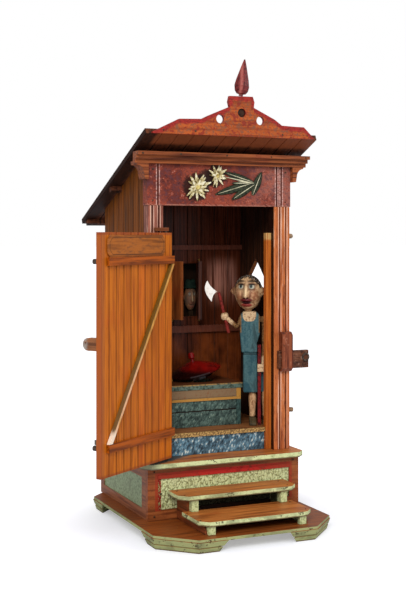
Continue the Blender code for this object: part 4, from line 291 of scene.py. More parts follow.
def green_rim(name, green=GREEN, back_dark=False, foot=0, drop=0,
              tones=((126, 66, 26), (190, 116, 54), (168, 82, 36))):
    """Brown boards whose edges carry a thick pale-green paint, chipped off along the arris."""
    coat = Coat(name)
    broad, fine = grain(coat, "x")
    wood = coat.mix(tones[0], tones[1], broad.rise(0.35, 0.6))
    patches = coat.spots((30, 60, 30), 4, 0.6)
    wood = coat.mix(wood, tones[2], patches.rise(0.5, 0.75) * 0.6)
    wood = coat.mix(wood, BROWN_DEEP, fine.rise(0.58, 0.85) * 0.6)
    crumbs = coat.spots((420, 420, 520), 4, 0.65)
    wide = coat.spots((95, 95, 150), 3, 0.6)
    rim = coat.mix(GREEN_DULL, green, (crumbs * 0.4 + wide * 0.6).rise(0.3, 0.52))
    chips = (crumbs * 0.45 + wide * 0.55).rise(0.565, 0.605)
    rim = coat.mix(rim, (64, 44, 28), chips * 0.9)
    dust = coat.spots((34, 34, 60), 3, 0.6)
    rim = coat.mix(rim, (112, 112, 78), dust.rise(0.48, 0.62) * 0.55)
    z = coat.spot[2]
    rim = coat.mix(rim, (92, 62, 36), (z + (wide - 0.5) * drop).rise(foot + drop, foot + drop * 0.5) * 0.85)
    if back_dark:
        across, back = coat.spot[:2]
        rim = coat.mix(rim, (92, 48, 24), (back - HOUSE.y).rise(0.004, 0.012))
        corner = (back - HOUSE.y) - (across - HOUSE.x) * 0.68 + (wide - 0.5) * 0.012
        wood = coat.mix(wood, (66, 70, 68), corner.rise(0.032, 0.04) * 0.95)
        rim = coat.mix(rim, (112, 112, 94), corner.rise(0.028, 0.042) * 0.7)
    top = coat.facing[2].rise(0.72, 0.95)
    wood = coat.mix(wood, GREEN_DULL, (crumbs * 0.5 + wide * 0.5).rise(0.61, 0.68) * 0.35)
    coat.start(rim, wood, top)
    height = crumbs * (1 - top) + broad * 0.4 * top - chips * 0.8 * (1 - top)
    rough = 0.62 - top * 0.16 + (broad - 0.5) * 0.2
    return coat.end(rough, height, 0.0004, 0.7, varnish=(0.03, 0.3))


def crackled(name, deep, main, pale, scale=1, worn=0.5, gloss=0.38):
    """Old oil paint, dark in the pores and rubbed pale on the high spots."""
    coat = Coat(name)
    pores = coat.spots(260 * scale, 5, 0.68)
    fields = coat.spots((34 * scale, 34 * scale, 48 * scale), 4, 0.6, 0.4)
    cracks = coat.cells((150 * scale, 150 * scale, 70 * scale), "DISTANCE_TO_EDGE")
    coat.start(deep, main, pores.rise(0.34, 0.56))
    coat.lay(deep, fields.rise(0.55, 0.8) * 0.7)
    coat.lay(pale, (pores * 0.65 + fields * 0.35).rise(0.56, 0.7) * worn)
    coat.lay(deep, cracks.rise(0.05, 0) * 0.7)
    height = pores * 0.8 + cracks.rise(0, 0.07) * 0.35
    return coat.end(gloss + pores * 0.25, height, 0.0004, 0.6, varnish=(0.05, 0.3))


def stone(name, deep, main, light, joints=(), trims=(), scale=1, lit=0.62):
    """Grit in thick paint, as painted masonry; joints are dark lines, trims bands of other paint."""
    coat = Coat(name)
    lean = (0, 0.45, 0)
    grit = coat.spots((460 * scale, 460 * scale, 230 * scale), 4, 0.7, turn=lean)
    lumps = coat.cells((360 * scale, 360 * scale, 200 * scale), turn=lean)
    fields = coat.spots(60, 3, 0.6)
    coat.start(deep, main, (grit * 0.7 + fields * 0.3).rise(0.36, 0.58))
    coat.lay(light, (grit * 0.6 + (1 - lumps) * 0.4).rise(lit, lit + 0.12) * 0.9)
    coat.lay(deep, lumps.rise(0.45, 0.75) * 0.6)
    z = coat.spot[2]
    height = grit + (1 - lumps) * 0.6
    for level in joints:
        line = abs(z - level + (fields - 0.5) * 0.002)
        coat.lay(NEAR_BLACK_AND_SHADE, line.rise(0.001, 0.0004))
        height = height - line.rise(0.0012, 0.0004)
    for low, high, band in trims:
        inside = z.rise(low, low + 0.0003) * z.rise(high, high - 0.0003)
        shade = coat.mix(band, BROWN, grit.rise(0.52, 0.74) * 0.7)
        coat.lay(shade, inside)
        height = height * (1 - inside * 0.75)
    return coat.end(0.6, height, 0.0009, 0.8)


def plain_coat(name, main, deep, scale=300, gloss=0.45, depth=0.0002, metallic=0, coated=0.05):
    """Hand-brushed paint or metal, thin in places."""
    coat = Coat(name)
    fine = coat.spots(scale, 5, 0.65)
    broad = coat.spots(scale / 6, 3, 0.55)
    coat.start(main, deep, (fine * 0.55 + broad * 0.45).rise(0.42, 0.66))
    return coat.end(gloss + (fine - 0.5) * 0.3, fine, depth, 0.5, (coated, 0.2), metal=metallic)


def dress(nodes, material):
    """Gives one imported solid, or several, their finish."""
    for node in (nodes,) if isinstance(nodes, str) else nodes:
        materials = NODES[node].data.materials
        for i in range(len(materials)):
            materials[i] = material
        if not materials:
            materials.append(material)


# Finishes of the house

def dark_inside(coat, flat):
    """The walls' faces towards the room are painted nearly black, as the shade inside the house."""
    inside = abs(flat[0] - HOUSE.x).rise(0.0892, 0.0888) * flat[2].rise(0.0835, 0.0845)
    room_shade = coat.mix(NEAR_BLACK_AND_SHADE, (64, 30, 14), coat.spots((300, 300, 20)).rise(0.4, 0.75))
    coat.lay(room_shade, inside * 0.92)


# Where each wall's boards start and how wide they are
SIDE_BOARDS = (HOUSE.y + 0.0143, (0.155 - 0.0143) / 8)
BACK_BOARDS = (HOUSE.x - 0.0882, 0.1764 / 9)
ROOF_BOARDS = (HOUSE.x - 0.112, 0.224 / 11)

dress(("wall_left", "wall_right"),
      boards("varnished_wall_boards", "z", ((66, 32, 2), (132, 70, 6), (92, 42, 2)), "y", *SIDE_BOARDS,
             gloss=0.72, detail=dark_inside))


def dark_front(coat, flat):
    """The side of the back boards towards the room is painted nearly black, as the shade inside the house."""
    coat.lay((24, 18, 12), (flat[1] - HOUSE.y).rise(0.1525, 0.1505) * 0.95)


def lighter_foot(coat, flat):
    """The wall behind the seat is redder and lighter below the window; a pool of light and the
    rails' highlights are painted on it.
    """
    z = flat[2]
    rub = coat.spots((40, 40, 26), 3, 0.6)
    coat.lay((128, 62, 26), z.rise(0.235, 0.205) * rub.rise(0.35, 0.65) * 0.8)
    x = flat[0] - HOUSE.x
    # A painted pool of light on the wall, broken into streaks
    painted_light_patch = z.rise(0.25, 0.285) * z.rise(0.326, 0.304) * x.rise(0.032, 0.048) * x.rise(0.086, 0.072)
    streak = coat.spots((420, 60, 9), 3, 0.6)
    coat.lay((168, 112, 94), painted_light_patch * streak.rise(0.3, 0.62) * 0.8)
    # Painted highlights on both rails
    rails = z.rise(0.2215, 0.2222) * z.rise(0.2316, 0.2308)
    upper = z.rise(0.3305, 0.3312) * z.rise(0.3376, 0.3368)
    coat.lay((112, 62, 48), rails.most(upper) * 0.55)


dress("back_cover", boards("varnished_back_boards", "z", (BROWN, (156, 92, 40), ORANGE_RED), "x",
                           *BACK_BOARDS, detail=dark_front))
dress("back_wall", boards("dark_glossy_boards", "z", ((46, 19, 9), (90, 40, 20), (74, 26, 14)), "x",
                          *BACK_BOARDS, gloss=0.26, detail=lighter_foot))


def under_eaves(coat, flat):
    """The boards' undersides are painted darker beside the house as shade, and browner over its front."""
    down = coat.facing[2].rise(-0.2, -0.5)
    beside = (HOUSE.x - flat[0]).rise(0.094, 0.1)
    front = (HOUSE.y - flat[1]).rise(0.01, 0.018)
    # Painted shade under the eaves beside the house
    coat.lay((30, 15, 8), down * beside * 0.75)
    coat.lay((146, 74, 38), down * front * (1 - beside) * 0.6)


dress("roof", boards("weathered_roof_boards", "y", ((44, 22, 12), (104, 56, 32), (66, 26, 18)), "x",
                     *ROOF_BOARDS, dark_seam=1, gloss=0.6, detail=under_eaves))


POST_GROOVES = (0.0808, 0.0893)          # from the house's middle
LINTEL_GROOVES = (-0.082, 0.0765, 0.083)
# Where the lintel is darkened round the flowers and the knot: across, up and reach
LINTEL_DARK_PATCHES = ((-0.0325, 0.4075, 0.0185), (-0.0075, 0.421, 0.0145), (-0.019, 0.418, 0.012))


def rubbed_grooves(coat, flat):
    """Pale wear runs down the raised parts of the posts."""
    streak = coat.spots((420, 420, 9), 4, 0.6)
    flakes = coat.spots((300, 300, 60), 4, 0.7)
    worn = (streak * 0.6 + flakes * 0.4).rise(0.55, 0.64)
    coat.lay((222, 178, 148), worn * 0.6)
    coat.lay((84, 32, 18), (streak * 0.5 + flakes * 0.5).rise(0.46, 0.38) * 0.8)
    across = abs(flat[0] - HOUSE.x)
    for line in POST_GROOVES:
        far = abs(across - line)
        coat.lay((54, 20, 12), far.rise(0.0011, 0.0005) * 0.85)
        beside = abs(far - 0.0018).rise(0.0008, 0.0002) * streak.rise(0.4, 0.6)
        coat.lay((226, 190, 168), beside * 0.75)


def stop_strip(coat, flat):
    """The strip that the door shuts against is bright varnished wood."""
    rubbed_grooves(coat, flat)
    broad, fine = grain(coat, "z")
    strip = coat.mix(ORANGE_DEEP, ORANGE, broad.rise(0.35, 0.6))
    strip = coat.mix(strip, GROOVE, fine.rise(0.6, 0.85) * 0.6)
    strip = coat.mix(strip, (204, 158, 96), flat[2].rise(0.3425, 0.3465) * broad.rise(0.3, 0.5))
    coat.lay(strip, flat[0].rise(HOUSE.x + 0.0728, HOUSE.x + 0.0722))
    # The jamb's face towards the opening is painted near black, as the shade inside the doorway.
    shaded_jamb = (-coat.facing[0]).rise(0.5, 0.9) * flat[0].rise(HOUSE.x + 0.0715, HOUSE.x + 0.072)
    coat.lay((38, 18, 10), shaded_jamb * flat[0].rise(HOUSE.x + 0.074, HOUSE.x + 0.073))


dress("post_right", boards("right_post_paint", "z", ((130, 58, 24), (194, 110, 58), (174, 74, 34)),
                           detail=stop_strip))
dress("post_left", boards("left_post_paint", "z", ((92, 44, 30), (160, 98, 80), (126, 60, 46)),
                          detail=rubbed_grooves))


def lintel_coat():
    """Maroon paint full of fine scratches, rubbed pale along its beads and at its right end."""
    coat = Coat("lintel_scratched_paint")
    pores = coat.spots((520, 520, 560), 5, 0.7)
    scratches = coat.spots((110, 300, 620), 4, 0.7, 0.5, turn=(0, 0.5, 0))
    fields = coat.spots((26, 26, 30), 3, 0.6, 0.3)
    x, y, z = coat.spot
    x = x - HOUSE.x
    coat.start((98, 40, 30), (134, 60, 42), fields.rise(0.36, 0.6))
    coat.lay((148, 104, 92), x.rise(0.01, 0.085) * fields.rise(0.3, 0.6) * 0.55)
    mottle = coat.spots((170, 170, 210), 5, 0.7, 0.4)
    coat.lay((150, 62, 40), mottle.rise(0.5, 0.6) * 0.55)
    coat.lay((86, 48, 54), mottle.rise(0.48, 0.38) * 0.7)
    coat.lay((58, 20, 16), (pores * 0.5 + scratches * 0.5).rise(0.47, 0.39) * 0.8)
    coat.lay((196, 150, 132), (pores * 0.5 + mottle * 0.5).rise(0.57, 0.64) * 0.55)
    for across, up, reach in LINTEL_DARK_PATCHES:
        far = ((x - across) * (x - across) + (z - up) * (z - up)).root() / reach + (mottle - 0.5) * 0.8
        coat.lay((34, 18, 12), far.rise(1.05, 0.8) * 0.85)
    for line in LINTEL_GROOVES:
        far = abs(x - line)
        coat.lay((60, 24, 18), far.rise(0.0011, 0.0005) * 0.8)
        beside = abs(far - 0.0019).rise(0.0009, 0.0003) * pores.rise(0.38, 0.56)
        coat.lay((216, 176, 164), beside * 0.7)
    coat.lay((176, 120, 100), z.rise(0.3872, 0.3862) * scratches.rise(0.4, 0.56) * 0.6)
    return coat.end(0.45 + pores * 0.2, pores * 0.6 + scratches * 0.6, 0.0004, 0.6, varnish=(0.06, 0.3))


dress("lintel", lintel_coat())
dress("cornice", boards("cornice_paint", "x", ((80, 36, 20), (152, 82, 42), (122, 52, 32)), gloss=0.5))

# Crest board: its upper outline as shares of its width and height
CREST_LOW, CREST_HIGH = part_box("crest_board")
CREST_LINE = ((0, 0.034), (0.157, 0.37), (0.29, 0.391), (0.329, 0.473), (0.462, 0.721), (0.47, 0.99),
              (0.606, 0.99), (0.612, 0.727), (0.748, 0.452), (0.792, 0.315), (0.881, 0.3), (0.936, 0.299),
              (1, 0.034))


def crest_coat():
    """Orange board mottled with dark wear, its edge painted bright red."""
    coat = Coat("crest_board_paint")
    broad, fine = grain(coat, "x")
    blots = coat.spots((130, 130, 150), 5, 0.65, 0.5)
    small = coat.spots((330, 330, 360), 5, 0.7, 0.3)
    coat.start((122, 52, 22), (176, 84, 32), broad.rise(0.3, 0.62))
    coat.lay((112, 70, 52), (blots * 0.5 + small * 0.5).rise(0.5, 0.57) * 0.8)
    coat.lay((120, 36, 30), blots.rise(0.49, 0.4) * 0.8)
    coat.lay((58, 28, 16), small.rise(0.4, 0.33) * 0.8)
    x, y, z = coat.spot
    share = (x - CREST_LOW[0]) / (CREST_HIGH[0] - CREST_LOW[0])
    height = (z - CREST_LOW[2]) / (CREST_HIGH[2] - CREST_LOW[2])
    line = coat.curve(share, CREST_LINE)
    near = (line - height + (blots - 0.5) * 0.1).rise(0.145, 0.08)
    neck = abs(share - 0.538).rise(0.048, 0.066) * height.rise(0.7, 0.78)
    side = coat.facing[1]
    rim = near.most(neck).most(abs(side).rise(0.75, 0.55))
    red = coat.mix((158, 42, 34), (104, 28, 24), (fine * 0.5 + small * 0.5).rise(0.42, 0.6))
    red = coat.mix(red, (190, 112, 98), small.rise(0.62, 0.72) * 0.6)
    coat.lay(red, rim)
    return coat.end(0.42 + blots * 0.2, blots * 0.7 + fine * 0.5, 0.0004, 0.6, varnish=(0.06, 0.3))


dress("crest_board", crest_coat())


def spear_coat():
    """Dull red spear with a painted pale pink highlight along its ridge."""
    coat = Coat("spear_paint")
    pores = coat.spots((420, 420, 260), 5, 0.68)
    x, y, z = coat.spot
    middle = middle_of("finial")
    ridge = abs(x - middle.x - (z - middle.z) * 0.12 + 0.0022)
    coat.start((118, 40, 38), (70, 20, 22), pores.rise(0.42, 0.6))
    # Painted highlight along the ridge
    coat.lay((174, 94, 84), ridge.rise(0.0028, 0.0004) * pores.rise(0.3, 0.52) * 0.75)
    return coat.end(0.4, pores, 0.0003, 0.5, varnish=(0.1, 0.25))


dress("finial", spear_coat())

# Finishes of the base

STEPS_ASIDE = 0.0015      # the steps stand this far to the right of the house's middle

for name in ("step_upper", "step_lower"):
    dress(name, green_rim(name + "_paint", foot=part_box(name)[0][2], drop=0.0014))
dress("deck", green_rim("deck_paint", back_dark=True, foot=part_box("deck")[0][2], drop=0.0016))
dress("base_plate", green_rim("base_plate_paint", green=(158, 160, 108), drop=0.0016,
                              tones=((96, 46, 14), (144, 76, 30), (128, 56, 20))))


def front_edge(coat, flat):
    """Red band round the sunk panel, wide above it and a thin line beside it."""
    x = abs(flat[0] - HOUSE.x)
    z = flat[2]
    drift = (coat.spots((60, 60, 200)) - 0.5) * 0.0016
    above = (z + drift).rise(0.0632, 0.0638) * (z + drift).rise(0.0712, 0.0704) * x.rise(0.0885, 0.088)
    beside = x.rise(0.0835, 0.084) * x.rise(0.0912, 0.0904) * z.rise(0.026, 0.027) * z.rise(0.0712, 0.0704)
    crumbs = coat.spots(200, 4, 0.7)
    red = coat.mix(RED, RED_DEEP, crumbs.rise(0.5, 0.7))
    aside = abs(flat[0] - HOUSE.x - 0.004)
    red = coat.mix(red, (140, 52, 28), (aside + (crumbs - 0.5) * 0.05).rise(0.022, 0.074) * 0.72)
    coat.lay((84, 36, 22), crumbs.rise(0.5, 0.75) * 0.5)
    coat.lay(red, above.most(beside * 0.75) * crumbs.rise(0.75, 0.62))
    # Painted shade below the upper step
    coat.lay(NEAR_BLACK_AND_SHADE, shade_under_steps(coat))


def shade_under_steps(coat):
    """1 where the base is painted near black as the shade below the upper step."""
    x, y, z = coat.spot
    return z.rise(0.0452, 0.0444) * abs(x - HOUSE.x - STEPS_ASIDE).rise(0.06, 0.059) * 0.93


dress("base_front", boards("base_front_paint", "x", ((110, 56, 26), (156, 86, 44), (138, 56, 30)),
                           detail=front_edge))


def side_panels(coat, flat):
    """The sunk panels of the side and back walls are green and rough."""
    x = abs(flat[0] - HOUSE.x)
    sunk = x.rise(0.0994, 0.0991) * (flat[1] - HOUSE.y).rise(0.1544, 0.1541)
    crumbs = coat.spots(330, 5, 0.7)
    broad = coat.spots(60, 3, 0.6)
    green = coat.mix((112, 122, 88), (150, 166, 128), crumbs.rise(0.36, 0.6))
    green = coat.mix(green, (94, 82, 60), (crumbs * 0.4 + broad * 0.6).rise(0.56, 0.7) * 0.7)
    coat.lay(green, sunk)


dress("base_walls", boards("base_wall_paint", "y", ((104, 56, 34), (152, 92, 58), (126, 66, 44)),
                           detail=side_panels))


def front_panel_coat():
    """Thick pale-green paint worked into a rough, scratched crust."""
    coat = Coat("front_panel_crust")
    crumbs = coat.spots(420, 5, 0.7)
    ridges = coat.cells((230, 230, 120), "DISTANCE_TO_EDGE")
    coat.start((206, 212, 158), (150, 152, 96), crumbs.rise(0.46, 0.64))
    coat.lay((96, 92, 52), ridges.rise(0.1, 0.02) * crumbs.rise(0.38, 0.58) * 0.75)
    coat.lay((150, 60, 40), crumbs.rise(0.7, 0.76) * 0.6)
    border = (coat.spot[0] - HOUSE.x).rise(-0.0822, -0.083)
    coat.lay(coat.mix((138, 34, 26), (150, 152, 96), crumbs.rise(0.5, 0.6)), border)
    # Painted shade below the upper step
    coat.lay(NEAR_BLACK_AND_SHADE, shade_under_steps(coat))
    return coat.end(0.6, crumbs + ridges.rise(0, 0.16) * 0.8, 0.001, 0.8)


dress("front_panel", front_panel_coat())


def support_coat():
    """Brown cheeks with pale-green posts, painted dark towards the back as shade under the upper step."""
    coat = Coat("step_support_paint")
    broad, fine = grain(coat, "y")
    x, y, z = coat.spot
    wood = coat.mix(BROWN_DEEP, (132, 66, 34), broad.rise(0.3, 0.62))
    crumbs = coat.spots(420, 4, 0.65)
    wide = coat.spots((90, 90, 120), 3, 0.6)
    rim = coat.mix(GREEN_DULL, GREEN, crumbs.rise(0.35, 0.6))
    rim = coat.mix(rim, BROWN_DEEP, (crumbs * 0.6 + wide * 0.4).rise(0.57, 0.63) * 0.85)
    post = abs(x - HOUSE.x - STEPS_ASIDE).rise(0.0624, 0.062)
    deep = (y - HOUSE.y).rise(-0.044, -0.04)
    coat.start(wood, rim, post)
    # Painted shade on the posts under the upper step
    coat.lay(NEAR_BLACK_AND_SHADE, deep * post * 0.8)
    return coat.end(0.55, crumbs, 0.0004, 0.6)


dress(("step_support_left", "step_support_right"), support_coat())

# Finishes of the room

dress("floor_riser", stone("riser_grit", (34, 42, 50), (100, 138, 156), (212, 216, 204), scale=0.8, lit=0.56))
dress("bench_front", stone("bench_stone", (34, 46, 44), (92, 114, 104), (164, 174, 152), joints=(0.1305,),
                           trims=((0.1469, 0.1575, (128, 102, 74)), (0.1429, 0.1469, (176, 126, 58)))))
dress("bench_end", stone("bench_end_stone", TEAL_DARK, (64, 90, 84), (120, 128, 100),
                         trims=((0.1429, 0.1575, GOLD),)))


def bench_top_coat():
    """Blue-green nosing, brown seat."""
    coat = Coat("bench_top_paint")
    broad, fine = grain(coat, "x")
    wood = coat.mix(BROWN_DEEP, (110, 62, 34), broad.rise(0.3, 0.6))
    crumbs = coat.spots(380, 4, 0.65)
    edge = coat.mix((92, 110, 98), (50, 62, 52), crumbs.rise(0.42, 0.62))
    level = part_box("bench_top")[1][2]
    top = coat.spot[2].rise(level - 0.0018, level - 0.0012)
    edge = coat.mix(edge, (150, 116, 66), top * crumbs.rise(0.65, 0.45))
    coat.start(edge, wood, coat.facing[2].rise(0.7, 0.95))
    return coat.end(0.5, crumbs * 0.6 + fine * 0.4, 0.0003, 0.5)


dress("bench_top", bench_top_coat())


def floor_coat():
    """Brown floor, its front edge speckled with gold."""
    coat = Coat("raised_floor_paint")
    broad, fine = grain(coat, "x")
    y = coat.spot[1] - HOUSE.y
    wood = coat.mix((86, 44, 22), (150, 96, 54), broad.rise(0.3, 0.6))
    dots = coat.spots(520, 4, 0.7)
    edge = coat.mix((104, 76, 44), (200, 160, 96), dots.rise(0.44, 0.6))
    coat.start(wood, edge, y.rise(0.0125, 0.0108))
    return coat.end(0.5, fine + (1 - dots) * 0.5, 0.0004, 0.6)


dress("inner_floor", floor_coat())
dress("shutter_left", boards("shutter_wood", "z", ((112, 56, 24), (176, 96, 46), ORANGE_RED)))
dress("shutter_right", boards("shaded_shutter_wood", "z", ((46, 20, 12), (84, 42, 26), (96, 60, 52))))
dress(("shutter_wire_left", "shutter_wire_right", "lid_hinge_block"),
      plain_coat("old_brass", (168, 128, 68), (96, 68, 34), 500, 0.38, 0.0001, 0.85))


def lid_coat():
    """Glossy red lid, painted nearly black on its lower part and rim as the shade under it."""
    coat = Coat("lid_gloss_paint")
    pores = coat.spots(60, 3, 0.6)
    coat.start((126, 12, 8), (86, 8, 6), pores.rise(0.4, 0.66))
    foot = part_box("lid")[0][2]
    # Painted shade on the lid's lower part
    coat.start((30, 6, 5), coat.colour, (coat.spot[2] - foot).rise(0.012, 0.0185))
    return coat.end(0.16 + pores * 0.1, pores, 0.0002, 0.3, varnish=(0.3, 0.1))


dress("lid", lid_coat())

# Finishes of the door and bolt

DOOR_TURN = -math.radians(145)
DOOR_PIN = HOUSE + Vector((-0.073, -0.0028, 0))
DOOR_FIRST = 0.002
DOOR_WIDTH = 0.1415
DOOR_END = DOOR_FIRST + DOOR_WIDTH
EDGE_STRIP = 0.0155       # the wider board at the free edge, past the nine even ones


def door_edge(coat, flat):
    """A wider board at the free edge, reddish, and red paint along the top and the outer edge."""
    along, out, z = flat
    rub = coat.spots((70, 70, 20), 3, 0.6)
    coat.lay((142, 78, 40), along.rise(DOOR_END - 0.01, DOOR_END - 0.004) * 0.55)
    coat.lay((158, 78, 34), along.rise(DOOR_END - 0.0022, DOOR_END - 0.0012) * rub.rise(0.25, 0.5) * 0.8)
    coat.lay((128, 52, 28), z.rise(0.349, 0.3505) * 0.55)
    coat.lay((120, 50, 26), z.rise(0.092, 0.089) * 0.6)


def door_wood(name, run, tones, **more):
    """Boards turned with the door; places in their callbacks are along it and out from it."""
    return boards(name, run, tones, turn=DOOR_TURN, middle=DOOR_PIN, **more)


dress("door_leaf", door_wood("door_board_varnish", "z", ((150, 72, 8), (198, 108, 16), (188, 80, 18)),
                             first=DOOR_FIRST, width=(DOOR_WIDTH - EDGE_STRIP) / 9, detail=door_edge,
                             dark_seam=0.55))


def plate_line(coat, flat):
    """A faint incised line with cut corners round the bare top plate."""
    across = abs(flat[0] - 0.075)
    up = abs(flat[2] - 0.3378)
    inside = (0.0535 - across).least(0.0095 - up).least((0.0535 + 0.0095 - 0.0055) - across - up)
    old = coat.spots((90, 90, 260), 4, 0.65)
    coat.lay((104, 62, 34), old.rise(0.45, 0.7) * 0.7)
    coat.lay((48, 24, 12), abs(inside).rise(0.0007, 0.0002) * 0.8)


dress("door_plate", door_wood("door_plate_varnish", "x", ((118, 62, 14), (164, 92, 30), (158, 74, 22)),
                              detail=plate_line))
dress(("door_batten_upper", "door_batten_lower"),
      door_wood("batten_paint", "x", ((98, 42, 3), (168, 80, 9), (140, 58, 6))))


def worn_foot_and_shaded_side(coat, flat):
    """The brace is rubbed white towards its foot; one long side is painted dark olive as its shade."""
    z = flat[2]
    rub = coat.spots((160, 160, 60), 4, 0.6)
    coat.lay((226, 176, 136), z.rise(0.24, 0.18) * rub.rise(0.26, 0.5) * 0.85)
    share = (flat[0] - 0.127 + (z - 0.1238) * 0.65) / 0.006
    # Painted shade down one long side of the brace
    coat.lay((88, 62, 16), share.rise(0.6, 0.72) * 0.9)
    coat.lay((236, 214, 190), z.rise(0.14, 0.131) * rub.rise(0.2, 0.4))
    coat.lay((130, 66, 40), z.rise(0.3, 0.345) * (1 - share.rise(0.6, 0.72)) * 0.7)
    coat.lay((60, 36, 14), rub.rise(0.62, 0.72) * 0.6)


dress("door_brace", door_wood("brace_wood", "z", ((150, 96, 36), (206, 150, 72), (188, 120, 52)),
                              detail=worn_foot_and_shaded_side))


def grey_end(coat, flat):
    """The pull turns grey towards its end."""
    rub = coat.spots(220, 3, 0.6)
    coat.lay((150, 140, 130), flat[1].rise(-0.011, -0.017) * rub.rise(0.3, 0.5))


dress("door_handle", door_wood("pull_wood", "y", ((92, 56, 36), (150, 96, 60), BROWN), detail=grey_end))
dress(("strap_upper", "strap_lower", "door_shaft", "bolt_ring"),
      plain_coat("dark_iron", (92, 80, 70), (50, 38, 30), 420, 0.5, 0.0003, 0.7))
dress("shaft_bracket", boards("bracket_wood", "x", (BROWN_DEEP, BROWN, MAROON)))


def worn_bolt(coat, flat):
    """Varnish gone to bare grey wood, with crusted dark patches."""
    rub = coat.spots(190, 5, 0.7)
    coat.lay((172, 142, 122), rub.rise(0.57, 0.68) * 0.65)
    coat.lay((40, 22, 14), rub.rise(0.46, 0.36) * 0.85)


def rubbed_keeper(coat, flat):
    """Soft pale rubs on the keeper's corners."""
    rub = coat.spots((150, 150, 110), 4, 0.6)
    coat.lay((190, 132, 104), rub.rise(0.56, 0.7) * 0.6)
    coat.lay((58, 26, 16), rub.rise(0.42, 0.34) * 0.6)


dress("slide_bolt", boards("bolt_wood", "x", ((66, 36, 24), (112, 68, 46), (90, 40, 30)), detail=worn_bolt))
dress("bolt_keeper", boards("keeper_paint", "z", ((84, 36, 22), (138, 72, 44), (118, 50, 32)),
                            detail=rubbed_keeper))

# Finishes of the works

dress(("drive_board", "slide_cradle", "lid_lifter"),
      boards("plain_beech", "x", ((150, 110, 66), (190, 152, 100), (172, 130, 82))))
# The stick at the window is near black
dress("peeper_board", boards("near_black_stick", "z", ((34, 22, 14), (58, 40, 26), (44, 28, 18))))
dress("hand_lever", crackled("lever_paint", (58, 8, 8), (122, 18, 16), (150, 52, 42), 1, 0.15, 0.35))


# Carved pieces of the scene

def link(thing):
    """Puts an object in the scene."""
    bpy.context.collection.objects.link(thing)
    return thing


def pattern(name, points, faces, material, smooth=True):
    """A solid with its material; on its own it isn't shown, and it may be copied."""
    mesh = bpy.data.meshes.new(name)
    mesh.from_pydata([tuple(point) for point in points], [], faces)
    mesh.materials.append(material)
    solid = bmesh.new()
    solid.from_mesh(mesh)
    bmesh.ops.recalc_face_normals(solid, faces=solid.faces)
    solid.to_mesh(mesh)
    solid.free()
    if smooth:
        mesh.shade_smooth()
    return bpy.data.objects.new(name, mesh)


def piece(name, points, faces, material, body, smooth=True):
    """A piece that rides on a body of the part."""
    made = link(pattern(name, points, faces, material, smooth))
    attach(made, body)
    return made


def ring_faces(rings, around):
    """Four-sided faces between rings of points."""
    faces = []
    for ring in range(rings - 1):
        for i in range(around):
            j = (i + 1) % around
            faces.append((ring * around + i, ring * around + j,
                          (ring + 1) * around + j, (ring + 1) * around + i))
    return faces


def closed_faces(rings, around):
    """The same with a face over each end."""
    ends = [tuple(range(around))[::-1], tuple((rings - 1) * around + i for i in range(around))]
    return ring_faces(rings, around) + ends


def bump_at(value, middle, spread):
    """1 at the middle, fading to 0 on both sides."""
    return np.exp(-((value - middle) / spread) ** 2)


def smooth_line(value, points):
    """A smooth line through points of (place, height), for arrays."""
    places = np.array([p for p, h in points])
    heights = np.array([h for p, h in points])
    index = np.clip(np.searchsorted(places, value) - 1, 0, len(places) - 2)
    share = (value - places[index]) / (places[index + 1] - places[index])
    share = np.clip(share, 0, 1)
    eased = share * share * (3 - 2 * share) * 0.5 + share * 0.5
    return heights[index] + (heights[index + 1] - heights[index]) * eased


def carved_head(width, depth, height, features, around=128, rings=96):
    """Vertices and faces of a carved head about its own middle, facing -Y; features push it out."""
    angle = np.linspace(0, math.tau, around, endpoint=False)
    level = np.cos(np.linspace(0, math.pi, rings))
    turn, up = np.meshgrid(angle, level)
    round_off = np.sqrt(np.clip(1 - np.abs(up) ** 3, 0, 1))
    jaw = smooth_line(up, ((-1, 0.74), (-0.75, 0.85), (-0.35, 0.94), (0.1, 1), (0.5, 1), (1, 0.94)))
    x = np.sin(turn) * width / 2 * round_off * jaw
    y = -np.cos(turn) * depth / 2 * round_off * (jaw * 0.5 + 0.5)
    z = up * height / 2
    front = np.clip(np.cos(turn), 0, 1) ** 0.5
    side = np.abs(np.sin(turn))
    push, out = features(x * 2 / width, up, front, side, -y * 2 / depth)
    y = y - push
    x = x + out * np.sign(x)
    return np.stack([x, y, z], axis=-1).reshape(-1, 3), ring_faces(rings, around)


def poles_joined(vertices, faces):
    """Joins the ring of points at each pole."""
    mesh = bmesh.new()
    rows = [mesh.verts.new(v) for v in vertices]
    for face in faces:
        mesh.faces.new([rows[i] for i in face])
    bmesh.ops.remove_doubles(mesh, verts=mesh.verts, dist=1e-6)
    mesh.verts.index_update()
    out = [v.co.copy() for v in mesh.verts], [tuple(v.index for v in f.verts) for f in mesh.faces]
    mesh.free()
    return out


